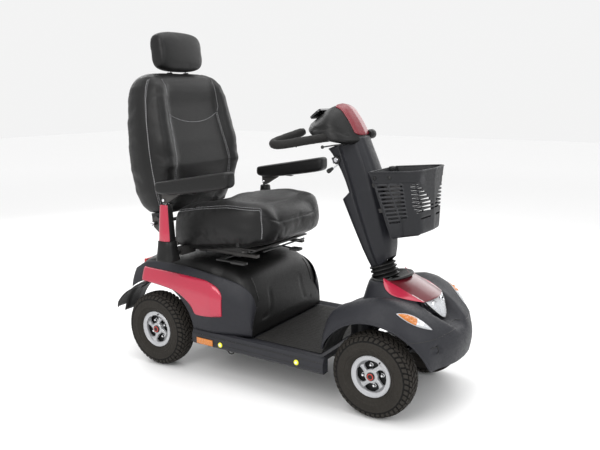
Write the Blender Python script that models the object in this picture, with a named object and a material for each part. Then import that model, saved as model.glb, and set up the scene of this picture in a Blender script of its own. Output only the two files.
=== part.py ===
"""Four-wheel mobility scooter, as separate sub-parts.

Metres, +Z up. The scooter faces -Y, so +X is its left side. The origin is on the ground, at the middle
of the scooter's length and width.
"""

from math import cos, pi, radians, sin, sqrt

import bmesh
import bpy
from mathutils import Vector

# ---------------------------------------------------------------- driving dimensions
WHEELBASE = 0.950
REAR_AXLE_Y = 0.495
FRONT_AXLE_Y = REAR_AXLE_Y - WHEELBASE
TYRE_R = 0.152
TYRE_HALF_WIDTH = 0.045
RIM_R = 0.0735
REAR_WHEEL_X = 0.2615
FRONT_WHEEL_X = 0.223
KINGPIN_X = 0.160
FLOOR_Z = 0.188
BODY_HALF_WIDTH = 0.290
SHROUD_FRONT_Y = 0.044
SHROUD_REAR_Y = 0.640
COWL_REAR_Y = -0.270
NOSE_Y = -0.720
STEER_TILT = radians(20)
STEER_PIVOT = Vector((0, -0.380, 0.452))
ARM_LENGTH = 0.070
PITMAN_LENGTH = 0.079
BASKET_RIM = Vector((0, -0.362, 0.838))
BASKET_TILT = radians(7.5)
SEAT_POST_Y = 0.255
SEAT_SLOPE = 0.0591
BACK_PIVOT = Vector((0, 0.545, 0.575))
BACK_LEAN = radians(7)
ARMREST_X = 0.327
ARM_PIVOT = Vector((0, 0.385, 0.698))
FREEWHEEL_PIVOT = Vector((0.095, 0.600, 0.318))
FREEWHEEL_BRACKET = [
    (0.480, 0.165), (0.520, 0.165), (0.625, 0.300), (0.625, 0.340), (0.570, 0.340), (0.560, 0.300)
]
ARM_BRACKET = [(-0.016, -0.009), (0.010, -0.009), (0.012, 0.0240), (-0.070, 0.0330), (-0.070, 0.022)]
WALL = 0.003

STEER_AXIS = Vector((0, sin(STEER_TILT), cos(STEER_TILT)))
SIDES = (("right", -1), ("left", 1))

MATERIALS = {
    "frame_paint": ((0.02, 0.02, 0.022, 1), 0.45, 0.6),
    "steel": ((0.55, 0.55, 0.56, 1), 0.35, 1.0),
    "body_grey": ((0.045, 0.047, 0.055, 1), 0.45, 0.0),
    "body_black": ((0.012, 0.012, 0.013, 1), 0.5, 0.0),
    "red_paint": ((0.42, 0.012, 0.035, 1), 0.22, 0.2),
    "tyre_rubber": ((0.03, 0.028, 0.026, 1), 0.85, 0.0),
    "rim_silver": ((0.78, 0.79, 0.80, 1), 0.3, 0.9),
    "vinyl": ((0.015, 0.015, 0.016, 1), 0.42, 0.0),
    "foam_grip": ((0.02, 0.02, 0.02, 1), 0.75, 0.0),
    "soft_rubber": ((0.012, 0.012, 0.012, 1), 0.7, 0.0),
    "clear_lens": ((0.85, 0.87, 0.9, 0.6), 0.08, 0.0),
    "amber_lens": ((0.95, 0.32, 0.02, 0.8), 0.12, 0.0),
    "red_lens": ((0.6, 0.02, 0.02, 0.8), 0.12, 0.0),
    "chrome": ((0.85, 0.85, 0.86, 1), 0.12, 1.0),
    "screen": ((0.02, 0.03, 0.035, 1), 0.1, 0.0),
}


# ---------------------------------------------------------------- helpers
def clear_scene():
    for obj in list(bpy.data.objects):
        bpy.data.objects.remove(obj, do_unlink=True)


def material(name):
    found = bpy.data.materials.get(name)
    if found:
        return found
    colour, roughness, metallic = MATERIALS[name]
    made = bpy.data.materials.new(name)
    made.use_nodes = True
    shader = made.node_tree.nodes["Principled BSDF"]
    shader.inputs["Base Color"].default_value = colour
    shader.inputs["Roughness"].default_value = roughness
    shader.inputs["Metallic"].default_value = metallic
    return made


def empty(name, at, rotation=(0, 0, 0), parent=None):
    made = bpy.data.objects.new(name, None)
    bpy.context.scene.collection.objects.link(made)
    made.location = at
    made.rotation_euler = rotation
    made.parent = parent
    return made


def from_bmesh(name, mesh, slot, parent=None, smooth=35):
    """A bmesh as a named object, with its faces turned outwards."""
    bmesh.ops.recalc_face_normals(mesh, faces=mesh.faces)
    data = bpy.data.meshes.new(name)
    mesh.to_mesh(data)
    mesh.free()
    data.materials.append(material(slot))
    data.shade_smooth()
    data.set_sharp_from_angle(angle=radians(smooth))
    made = bpy.data.objects.new(name, data)
    bpy.context.scene.collection.objects.link(made)
    made.parent = parent
    return made


def loft(mesh, rings, close_ring=True, caps=True):
    """Skins a list of rings of points, and caps the first and the last."""
    rows = [[mesh.verts.new(p) for p in ring] for ring in rings]
    count = len(rings[0])
    last = count if close_ring else count - 1
    for low, high in zip(rows, rows[1:]):
        for i in range(last):
            j = (i + 1) % count
            mesh.faces.new((low[i], low[j], high[j], high[i]))
    if caps:
        mesh.faces.new(rows[0])
        mesh.faces.new(rows[-1])
    return rows


def turned(mesh, profile, segments, axis="X", centre=(0, 0, 0)):
    """Turns a closed profile of (radius, along) round an axis: a ring-shaped body."""
    centre = Vector(centre)
    rings = []
    for k in range(segments):
        a = 2 * pi * k / segments
        rings.append([centre + on_axis(axis, r, a, along) for r, along in profile])
    rows = [[mesh.verts.new(p) for p in ring] for ring in rings]
    count = len(profile)
    for k in range(segments):
        low, high = rows[k], rows[(k + 1) % segments]
        for i in range(count):
            j = (i + 1) % count
            mesh.faces.new((low[i], low[j], high[j], high[i]))


def on_axis(axis, r, a, along):
    if axis == "X":
        return Vector((along, r * cos(a), r * sin(a)))
    if axis == "Y":
        return Vector((r * cos(a), along, r * sin(a)))
    return Vector((r * cos(a), r * sin(a), along))


def spun(mesh, profile, segments, axis="Z", centre=(0, 0, 0)):
    """Turns an open profile of (radius, along) and caps both ends: a solid body."""
    centre = Vector(centre)
    angles = [2 * pi * k / segments for k in range(segments)]
    rings = [[centre + on_axis(axis, r, a, along) for a in angles] for r, along in profile]
    loft(mesh, rings)


def cylinder(mesh, start, end, radius, segments=16, end_radius=None):
    """A rod, or a cone when end_radius is given, between two points."""
    start, end = Vector(start), Vector(end)
    turn = (end - start).to_track_quat("Z", "Y")
    rings = []
    for point, r in ((start, radius), (end, radius if end_radius is None else end_radius)):
        angles = [2 * pi * k / segments for k in range(segments)]
        rings.append([point + turn @ Vector((r * cos(a), r * sin(a), 0)) for a in angles])
    loft(mesh, rings)


def box(mesh, low, high):
    low, high = Vector(low), Vector(high)
    corners = ((low.x, low.y), (high.x, low.y), (high.x, high.y), (low.x, high.y))
    loft(mesh, [[(x, y, z) for x, y in corners] for z in (low.z, high.z)])


def rounded_box(mesh, low, high, radius, steps=3):
    """A block whose four upright edges are rounded."""
    low, high = Vector(low), Vector(high)
    outline = []
    for cx, cy, start in (
        (high.x - radius, high.y - radius, 0),
        (low.x + radius, high.y - radius, 90),
        (low.x + radius, low.y + radius, 180),
        (high.x - radius, low.y + radius, 270),
    ):
        for k in range(steps + 1):
            a = radians(start + 90 * k / steps)
            outline.append((cx + radius * cos(a), cy + radius * sin(a)))
    loft(mesh, [[(x, y, z) for x, y in outline] for z in (low.z, high.z)])


def slab(mesh, outline, low, high, axis="X"):
    """An outline in the plane across the axis, given thickness along it."""
    rings = []
    for t in (low, high):
        if axis == "X":
            rings.append([(t, a, b) for a, b in outline])
        elif axis == "Y":
            rings.append([(a, t, b) for a, b in outline])
        else:
            rings.append([(a, b, t) for a, b in outline])
    loft(mesh, rings)


def cutter(name, build):
    """A hidden object for a Boolean."""
    mesh = bmesh.new()
    build(mesh)
    made = from_bmesh(name, mesh, "steel")
    made.hide_render = True
    made.display_type = "WIRE"
    return made


def boolean(target, other, operation="DIFFERENCE"):
    modifier = target.modifiers.new(operation.lower(), "BOOLEAN")
    modifier.operation = operation
    modifier.solver = "EXACT"
    modifier.object = other
    return modifier


def cut(target, name, build):
    boolean(target, cutter(name, build))


def joined(name, builds, slot, parent=None, smooth=35):
    """Several overlapping shapes as one body, by Boolean union."""
    mesh = bmesh.new()
    builds[0](mesh)
    made = from_bmesh(name, mesh, slot, parent, smooth)
    for k, build in enumerate(builds[1:]):
        extra = cutter(f"{name}_add{k}", build)
        extra.parent = parent
        boolean(made, extra, "UNION")
    return made


def shell(name, rings, slot, thickness=WALL, close_ring=False, parent=None, smooth=35):
    """An open skin of points given a wall by Solidify, inwards."""
    mesh = bmesh.new()
    loft(mesh, rings, close_ring=close_ring, caps=False)
    made = from_bmesh(name, mesh, slot, parent, smooth)
    wall = made.modifiers.new("wall", "SOLIDIFY")
    wall.thickness = thickness
    wall.offset = -1
    wall.use_even_offset = False
    return made


def tube(mesh, points, radius, segments=12):
    """A round bar that follows a path."""
    rings = []
    side = Vector((0, 0, 1))
    for k, point in enumerate(points):
        ahead = (points[min(k + 1, len(points) - 1)] - points[max(k - 1, 0)]).normalized()
        across = ahead.cross(side).normalized()
        up = across.cross(ahead).normalized()
        angles = [2 * pi * i / segments for i in range(segments)]
        rings.append([point + (across * cos(a) + up * sin(a)) * radius for a in angles])
    loft(mesh, rings)


def smooth_path(points, per_span=4):
    """A Catmull-Rom curve through the given points."""
    pts = [Vector(p) for p in points]
    pts = [pts[0] * 2 - pts[1], *pts, pts[-1] * 2 - pts[-2]]
    found = []
    for a, b, c, d in zip(pts, pts[1:], pts[2:], pts[3:]):
        for k in range(per_span):
            t = k / per_span
            found.append(
                0.5
                * (
                    2 * b
                    + (c - a) * t
                    + (2 * a - 5 * b + 4 * c - d) * t**2
                    + (3 * b - a - 3 * c + d) * t**3
                )
            )
    return [*found, pts[-2]]


def lerp_table(table, t):
    """The value at t in a table of (t, value) rows."""
    if t <= table[0][0]:
        return table[0][1]
    for (t0, v0), (t1, v1) in zip(table, table[1:]):
        if t <= t1:
            s = (t - t0) / (t1 - t0)
            return v0 + (v1 - v0) * s
    return table[-1][1]


def power(value, exponent):
    """Signed power, for superellipse outlines."""
    return abs(value) ** exponent * (1 if value >= 0 else -1)


# ---------------------------------------------------------------- wheels
def tyre_profile():
    """Closed (radius, along) section: squarish crown, rounded shoulders, bead at the rim."""
    w = TYRE_HALF_WIDTH
    return [
        (RIM_R + 0.001, -0.030),
        (0.095, -w * 0.95),
        (0.118, -w),
        (0.138, -w * 0.86),
        (TYRE_R - 0.003, -w * 0.52),
        (TYRE_R, 0),
        (TYRE_R - 0.003, w * 0.52),
        (0.138, w * 0.86),
        (0.118, w),
        (0.095, w * 0.95),
        (RIM_R + 0.001, 0.030),
    ]


def make_wheel(place, side, centre, hub_bore):
    """A tyre on a four-spoke alloy rim. The rim's show face is outboard."""
    hub = empty(f"wheel_{place}_axis", centre)
    mesh = bmesh.new()
    turned(mesh, tyre_profile(), 28)
    from_bmesh(f"tyre_{place}", mesh, "tyre_rubber", hub, 30)

    bead = RIM_R + 0.0005
    outer = side * 0.033
    inner = -side * 0.031
    dish = side * 0.022
    mesh = bmesh.new()
    turned(
        mesh,
        [
            (hub_bore, side * 0.030),
            (0.022, side * 0.030),
            (0.026, dish),
            (0.060, side * 0.024),
            (RIM_R - 0.004, outer),
            (bead, side * 0.031),
            (RIM_R - 0.006, side * 0.014),
            (bead, inner),
            (RIM_R - 0.005, inner),
            (0.062, side * 0.012),
            (0.022, side * 0.012),
            (0.020, -side * 0.020),
            (hub_bore, -side * 0.020),
        ],
        24,
    )
    rim = from_bmesh(f"rim_{place}", mesh, "rim_silver", hub, 30)

    def windows(cut_mesh):
        for k in range(4):
            a = radians(45 + 90 * k)
            outline = []
            for r, spread in ((0.030, -0.42), (0.030, 0.42), (0.056, 0.50), (0.058, 0.0), (0.056, -0.50)):
                outline.append((r * cos(a + spread), r * sin(a + spread)))
            slab(cut_mesh, outline, 0.004, 0.040)

    holes = cutter(f"rim_{place}_windows", windows)
    holes.parent = hub
    if side < 0:
        holes.rotation_euler = (0, 0, pi)
    boolean(rim, holes)
    return hub


# ---------------------------------------------------------------- chassis
def make_chassis():
    rail_x, rail_z = 0.110, 0.148
    beam_z = TYRE_R
    yoke = KINGPIN_X
    frame = joined(
        "main_frame",
        [
            lambda m: box(
                m, (-rail_x - 0.015, -0.290, rail_z - 0.015), (-rail_x + 0.015, 0.40, rail_z + 0.015)
            ),
            lambda m: box(
                m, (rail_x - 0.015, -0.290, rail_z - 0.015), (rail_x + 0.015, 0.40, rail_z + 0.015)
            ),
            lambda m: box(m, (-0.124, 0.060, rail_z - 0.014), (0.124, 0.090, rail_z + 0.014)),
            lambda m: box(m, (-0.124, -0.288, rail_z - 0.014), (0.124, -0.258, rail_z + 0.014)),
            lambda m: box(m, (-0.124, 0.345, rail_z - 0.014), (0.124, 0.380, rail_z + 0.014)),
            lambda m: box(m, (-0.035, -0.470, 0.1395), (0.035, -0.259, 0.1622)),
            lambda m: box(m, (-0.012, -0.349, 0.1610), (0.012, -0.337, 0.300)),
            lambda m: box(m, (-0.030, -0.420, 0.2990), (0.030, -0.337, 0.350)),
            lambda m: cylinder(
                m, STEER_PIVOT - STEER_AXIS * 0.200, STEER_PIVOT - STEER_AXIS * 0.050, 0.024, 20
            ),
            lambda m: box(m, (-0.146, -0.471, beam_z - 0.0145), (0.146, -0.443, beam_z - 0.0030)),
            lambda m: box(m, (-0.142, -0.475, beam_z - 0.0400), (-0.118, -0.435, beam_z + 0.0400)),
            lambda m: box(m, (0.118, -0.475, beam_z - 0.0400), (0.142, -0.435, beam_z + 0.0400)),
            lambda m: rounded_box(
                m, (-yoke - 0.013, -0.471, beam_z + 0.028), (-0.120, -0.439, beam_z + 0.0395), 0.008, 2
            ),
            lambda m: rounded_box(
                m, (-yoke - 0.013, -0.471, beam_z - 0.0395), (-0.120, -0.439, beam_z - 0.028), 0.008
            ),
            lambda m: rounded_box(
                m, (0.120, -0.471, beam_z + 0.028), (yoke + 0.013, -0.439, beam_z + 0.0395), 0.008
            ),
            lambda m: rounded_box(
                m, (0.120, -0.471, beam_z - 0.0395), (yoke + 0.013, -0.439, beam_z - 0.028), 0.008
            ),
            lambda m: box(m, (-0.118, 0.340, 0.1600), (-0.098, 0.366, 0.3950)),
            lambda m: box(m, (0.098, 0.340, 0.1600), (0.118, 0.366, 0.3950)),
            lambda m: box(m, (-0.118, 0.195, 0.3700), (0.118, 0.366, 0.3945)),
            lambda m: box(m, (-0.118, 0.195, 0.3690), (-0.104, 0.560, 0.3940)),
            lambda m: box(m, (0.104, 0.195, 0.3690), (0.118, 0.560, 0.3940)),
            lambda m: cylinder(m, (0, SEAT_POST_Y, 0.3660), (0, SEAT_POST_Y, 0.4380), 0.030, 24),
        ],
        "frame_paint",
    )
    low = STEER_PIVOT - STEER_AXIS * 0.30
    high = STEER_PIVOT + STEER_AXIS * 0.05
    cut(frame, "head_tube_bore", lambda m: cylinder(m, low, high, 0.0165, 20))
    cut(
        frame,
        "seat_post_bore",
        lambda m: cylinder(m, (0, SEAT_POST_Y, 0.355), (0, SEAT_POST_Y, 0.45), 0.0245, 24),
    )
    for side_name, side in SIDES:
        at = Vector((side * yoke, FRONT_AXLE_Y, 0))
        cut(
            frame,
            f"kingpin_bore_{side_name}",
            lambda m, at=at: cylinder(m, at + Vector((0, 0, 0.09)), at + Vector((0, 0, 0.22)), 0.0085),
        )

    # Sealed battery pack under the seat, in front of the transaxle.
    mesh = bmesh.new()
    rounded_box(mesh, (-0.094, 0.082, 0.1845), (0.094, 0.226, 0.3400), 0.006, 1)
    from_bmesh("battery_pack", mesh, "body_black")

    # Motor, gearbox and the two axle tubes.
    joined(
        "transaxle",
        [
            lambda m: cylinder(m, (-0.055, REAR_AXLE_Y, TYRE_R), (0.055, REAR_AXLE_Y, TYRE_R), 0.062, 24),
            lambda m: cylinder(m, (-0.175, REAR_AXLE_Y, TYRE_R), (0.175, REAR_AXLE_Y, TYRE_R), 0.026, 16),
            lambda m: cylinder(m, (0, REAR_AXLE_Y - 0.020, 0.19), (0, REAR_AXLE_Y - 0.100, 0.225), 0.045, 20),
            lambda m: box(m, (-0.130, 0.4050, 0.136), (0.130, 0.4750, 0.160)),
            lambda m: slab(m, FREEWHEEL_BRACKET, 0.0790, 0.0825),
        ],
        "frame_paint",
    )
    transaxle = bpy.data.objects["transaxle"]
    cut(
        transaxle,
        "freewheel_bore",
        lambda m: cylinder(
            m, (0.07, FREEWHEEL_PIVOT.y, FREEWHEEL_PIVOT.z), (0.10, FREEWHEEL_PIVOT.y, FREEWHEEL_PIVOT.z),
            0.0100, 16,
        ),
    )
    for side_name, side in SIDES:
        cut(
            transaxle,
            f"half_shaft_bore_{side_name}",
            lambda m, side=side: cylinder(
                m, (side * 0.060, REAR_AXLE_Y, TYRE_R), (side * 0.180, REAR_AXLE_Y, TYRE_R), 0.0105
            ),
        )


def sweep_clearance(mesh):
    """Upright cylinders that the front tyres need when they steer."""
    for _, side in SIDES:
        cylinder(
            mesh,
            (side * KINGPIN_X, FRONT_AXLE_Y, 0.05),
            (side * KINGPIN_X, FRONT_AXLE_Y, 0.34),
            0.186,
            28,
        )


def make_floor():
    half = 0.268
    outline = [(-half, COWL_REAR_Y), (half, COWL_REAR_Y), (half, 0.235), (0.205, 0.265), (0.205, 0.335)]
    outline += [(-0.205, 0.335), (-0.205, 0.265), (-half, 0.235)]
    skirt = [(0.2620, 0.1845), (0.2620, 0.1360), (0.2890, 0.1330), (0.2980, 0.1420), (0.2980, 0.1740)]
    skirt += [(0.2900, 0.1900), (0.2760, 0.1930)]
    pan = joined(
        "floor_pan",
        [
            lambda m: slab(m, outline, 0.1640, 0.1840, "Z"),
            lambda m: slab(m, [(-x, z) for x, z in skirt], -0.292, 0.300, "Y"),
            lambda m: slab(m, skirt, -0.292, 0.300, "Y"),
        ],
        "body_grey",
    )
    cut(pan, "floor_pan_wheel_sweep", sweep_clearance)

    mesh = bmesh.new()
    rounded_box(mesh, (-0.240, -0.250, 0.1850), (0.240, SHROUD_FRONT_Y - 0.004, FLOOR_Z), 0.02)
    mat = from_bmesh("floor_mat", mesh, "soft_rubber")
    cut(mat, "floor_mat_wheel_sweep", sweep_clearance)


# ---------------------------------------------------------------- rear body
PANEL_TOP = [
    (0.046, 0.300),
    (0.052, 0.335),
    (0.075, 0.368),
    (0.120, 0.392),
    (0.220, 0.414),
    (0.400, 0.430),
    (0.550, 0.424),
    (0.622, 0.385),
]
SHROUD_TOP = [
    (SHROUD_FRONT_Y, 0.240),
    (0.052, 0.300),
    (0.062, 0.350),
    (0.085, 0.398),
    (0.120, 0.430),
    (0.170, 0.447),
    (0.240, 0.455),
    (0.340, 0.458),
    (0.450, 0.457),
    (0.540, 0.449),
    (0.595, 0.428),
    (0.625, 0.395),
    (SHROUD_REAR_Y, 0.352),
]


def shroud_section(y, z_top, low, half=0.245, count=12):
    """Across the body at one y: upright sides, a soft shoulder and a slightly crowned top."""
    points = [(-half, y, low)]
    for k in range(count + 1):
        a = pi * k / count
        x = -half * power(cos(a), 0.36)
        z = low + (z_top - low) * power(sin(a), 0.30)
        if 0 < k < count:
            points.append((x, y, z))
    points.append((half, y, low))
    return points


def shroud_low(y):
    """The bottom edge: at the floor in front, and up over the wheels behind."""
    return lerp_table([(0.20, FLOOR_Z + 0.001), (0.245, 0.300), (0.30, 0.336), (0.66, 0.345)], y)


def make_rear_body():
    rings = [shroud_section(y, z, min(shroud_low(y), z - 0.012)) for y, z in SHROUD_TOP]
    front = [(p[0], SHROUD_FRONT_Y - 0.002, FLOOR_Z + 0.001 + (p[2] - FLOOR_Z) * 0.05) for p in rings[0]]
    body = shell("rear_shroud", [front, *rings], "body_black", 0.0035)
    cut(
        body,
        "shroud_post_hole",
        lambda m: cylinder(m, (0, SEAT_POST_Y, 0.38), (0, SEAT_POST_Y, 0.50), 0.0335, 24),
    )

    for side_name, side in SIDES:
        flap = cutter(f"mudflap_{side_name}", lambda m, side=side: mudflap(m, side))
        boolean(body, flap, "UNION")

    for side_name, side in SIDES:
        panel_rows = []
        columns = [
            0.046, 0.052, 0.075, 0.12, 0.17, 0.22, 0.26, 0.29, 0.32, 0.36, 0.41, 0.47, 0.53, 0.58, 0.622
        ]
        for y in columns:
            top = lerp_table(PANEL_TOP, y)
            arch = REAR_AXLE_Y - y
            low = 0.1945
            if abs(arch) < 0.205:
                low = max(low, min(TYRE_R + sqrt(0.205**2 - arch**2), top - 0.018))
            row = []
            for k in range(7):
                t = k / 6
                z = low + (top - low) * t
                row.append((side * panel_x(y, z, top), y, z))
            panel_rows.append(row)
        shell(f"rear_panel_{side_name}", panel_rows, "body_grey", 0.003)

        trim_rows = []
        for y in [0.160, 0.166, 0.18, 0.21, 0.25, 0.285, 0.32, 0.36, 0.41, 0.46, 0.51, 0.560]:
            top = lerp_table(
                [
                    (0.160, 0.335), (0.166, 0.352), (0.18, 0.368), (0.21, 0.383), (0.25, 0.392),
                    (0.41, 0.400), (0.56, 0.402),
                ],
                y,
            )
            low = lerp_table(
                [
                    (0.160, 0.262), (0.285, 0.247), (0.30, 0.275), (0.332, 0.305), (0.38, 0.330),
                    (0.456, 0.343), (0.56, 0.350),
                ],
                y,
            )
            reach = REAR_AXLE_Y - y
            if abs(reach) < 0.207:
                low = max(low, TYRE_R + sqrt(0.207**2 - reach**2))
            row = []
            for k in range(5):
                t = k / 4
                z = low + (top - low) * t
                row.append((side * (panel_x(y, z, lerp_table(PANEL_TOP, y)) + 0.0045), y, z))
            trim_rows.append(row)
        shell(f"rear_trim_{side_name}", trim_rows, "red_paint", 0.0025)


def mudflap(mesh, side):
    """Curved flap behind a rear wheel. It hangs from the bottom edge of the shroud."""
    rings = []
    for k in range(8):
        a = radians(79 - 9.3 * k)
        r = 0.198 + 0.034 * max(0.0, (radians(50) - a) / radians(36))
        ring = []
        for radius, x in ((r, 0.222), (r, 0.300), (r + 0.003, 0.300), (r + 0.003, 0.222)):
            ring.append((side * x, REAR_AXLE_Y + radius * cos(a), TYRE_R + radius * sin(a)))
        rings.append(ring)
    loft(mesh, rings)


def panel_x(y, z, top):
    """How far out the flank stands: flush with the front corner, fuller over the wheel, leaning in above."""
    bulge = 0.252 + 0.040 * min(1, max(0, (y - 0.046) / 0.16)) ** 0.7
    lean = min(1, max(0, (z - (top - 0.09)) / 0.09))
    return bulge - 0.030 * lean**2


# ---------------------------------------------------------------- front body
def cowl_outline(angle):
    """Plan outline of the cowl. Angle 0 points to the left side and 90 degrees to the nose."""
    c, s = cos(angle), sin(angle)
    centre_y = -0.440
    if s >= 0:
        x = BODY_HALF_WIDTH * power(c, 0.50)
        y = centre_y + (NOSE_Y - centre_y) * power(s, 0.80)
    else:
        x = BODY_HALF_WIDTH * power(c, 0.30)
        y = centre_y + (COWL_REAR_Y - centre_y) * power(-s, 0.30)
        if abs(x) < 0.11:
            y -= 0.055 * min(1, (0.11 - abs(x)) / 0.04)
    return x, y


COWL_CENTRE = Vector((0, -0.395, 0))
COWL_LEVELS = [0.50, 0.66, 0.80, 0.90, 0.96, 0.99, 1.0]


def cowl_bottom(x, y):
    front = max(0.0, min(1.0, (-0.56 - y) / 0.14))
    return 0.1960 + 0.016 * front


def cowl_ring(level, count=36):
    ring = []
    for k in range(count):
        x, y = cowl_outline(2 * pi * k / count)
        px = COWL_CENTRE.x + (x - COWL_CENTRE.x) * level
        py = COWL_CENTRE.y + (y - COWL_CENTRE.y) * level
        low = cowl_bottom(x, y)
        top = 0.402 + 0.010 * max(0, 1 - abs(px) / 0.2)
        wing = min(1.0, max(0.0, (abs(px) - 0.08) / 0.10))
        top -= wing * 5.5 * max(0.0, -0.54 - py) ** 1.72
        top = max(top, low + 0.02)
        dome = (1 - level**5) ** (1 / 3.2) if level < 1 else 0.0
        ring.append((px, py, low + (top - low) * dome))
    return ring


def bonnet_point(level, angle):
    """A point on the bonnet: level 0 is the neck, 1 is its foot on the cowl, and 90 degrees is in front."""
    c, s = cos(angle), sin(angle)
    neck = Vector((0.054 * c, -0.384 - 0.060 * s, 0.440 + 0.014 * s))
    foot_x = 0.178 * power(c, 0.75)
    foot_y = -0.435 - (0.168 if s > 0 else 0.118) * power(s, 0.75)
    foot = Vector((foot_x * (1 - 0.22 * max(0, s)), foot_y, 0.4165 - 0.005 * max(0, s)))
    at = neck.lerp(foot, level)
    at.z = foot.z + (neck.z - foot.z) * (1 - level**2.4) ** 0.6
    return at


def make_front_body():
    rings = [cowl_ring(level) for level in COWL_LEVELS]
    cowl = shell("front_cowl", rings, "body_grey", 0.0035, close_ring=True)
    for side_name, side in SIDES:
        cut(
            cowl,
            f"wheel_arch_{side_name}",
            lambda m, side=side: cylinder(
                m, (side * 0.12, FRONT_AXLE_Y, TYRE_R), (side * 0.35, FRONT_AXLE_Y, TYRE_R), 0.212, 40
            ),
        )

    # Raised bonnet between the wings. Its first ring is the neck that the gaiter sits in.
    angles = [2 * pi * k / 28 for k in range(28)]
    rings = [[bonnet_point(level, a) for a in angles] for level in (0.0, 0.35, 0.65, 0.88, 1.0)]
    shell("bonnet", rings, "body_grey", 0.003, close_ring=True)

    lift = Vector((0, -0.0020, 0.0056))
    angles = [radians(22 + 17 * k) for k in range(9)]
    rings = [[bonnet_point(level, a) + lift for a in angles] for level in (0.20, 0.42, 0.64, 0.82, 0.96)]
    shell("bonnet_trim", rings, "red_paint", 0.0025)

    # Headlight: a shield-shaped lens in a matching opening under the front of the trim.
    outline = [
        (-0.088, 0.3960), (0.088, 0.3960), (0.076, 0.372), (0.044, 0.340), (0.0, 0.322), (-0.044, 0.340),
        (-0.076, 0.372),
    ]
    cut(
        cowl,
        "headlight_opening",
        lambda m: slab(m, [(x * 1.04, 0.360 + (z - 0.360) * 1.06) for x, z in outline], -0.760, -0.570, "Y"),
    )
    mesh = bmesh.new()
    rings = []
    for back in (0.0, 0.020):
        rings.append([(x, -0.6600 + 0.8 * abs(x) ** 1.4 + 0.35 * (z - 0.318) + back, z) for x, z in outline])
    loft(mesh, rings)
    from_bmesh("headlight", mesh, "clear_lens")

    for side_name, side in SIDES:
        outline = [
            (-0.058, 0.000), (-0.022, 0.014), (0.022, 0.013), (0.058, 0.000), (0.022, -0.013),
            (-0.022, -0.014),
        ]
        along = Vector((-side * 0.58, -0.66, -0.48)).normalized()
        outward = Vector((side * 0.42, -0.62, 0.66))
        outward = (outward - along * outward.dot(along)).normalized()
        across = along.cross(outward)
        middle = Vector((side * 0.190, -0.592, 0.3660))
        mesh = bmesh.new()
        rings = []
        for depth in (0.0060, 0.0120):
            rings.append([middle + along * a + across * b + outward * depth for a, b in outline])
        loft(mesh, rings)
        from_bmesh(f"indicator_{side_name}", mesh, "amber_lens")


# ---------------------------------------------------------------- steering
def make_steering():
    steer = empty("steering_axis", STEER_PIVOT, (-STEER_TILT, 0, 0))
    arm_at = Vector((0, 0, -0.232))
    arm_end = arm_at + Vector((0, PITMAN_LENGTH, 0))
    down = Vector((0, sin(STEER_TILT), -cos(STEER_TILT)))
    joined(
        "steering_shaft",
        [
            lambda m: cylinder(m, arm_at + Vector((0, 0, -0.008)), Vector((0, 0, -0.020)), 0.0150, 20),
            lambda m: rounded_box(
                m, arm_at + Vector((-0.020, -0.020, -0.006)), arm_end + Vector((0.020, 0.012, 0.006)), 0.012
            ),
            lambda m: cylinder(m, arm_end + down * 0.003, arm_end + down * 0.027, 0.0055, 12),
            lambda m: cylinder(m, (0, 0, -0.0480), (0, 0, -0.0380), 0.030, 24),
            lambda m: box(m, (-0.012, -0.014, -0.0385), (0.012, 0.014, 0.012)),
        ],
        "steel",
        steer,
    )
    cut_pin = cutter("tilt_pin_bore", lambda m: cylinder(m, (-0.04, 0, 0), (0.04, 0, 0), 0.0062, 16))
    cut_pin.parent = steer
    boolean(bpy.data.objects["steering_shaft"], cut_pin)

    # Rubber gaiter round the tilt hinge: folds between the column cover and the bonnet.
    mesh = bmesh.new()
    folds = 3
    outer = [(0.052 if k % 2 else 0.043, -0.022 + 0.050 * k / (2 * folds)) for k in range(2 * folds + 1)]
    inner = [(r - 0.003, z) for r, z in reversed(outer)]
    turned(mesh, outer + inner, 20, "Z")
    from_bmesh("gaiter", mesh, "soft_rubber", steer, 20)
    return steer


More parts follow.
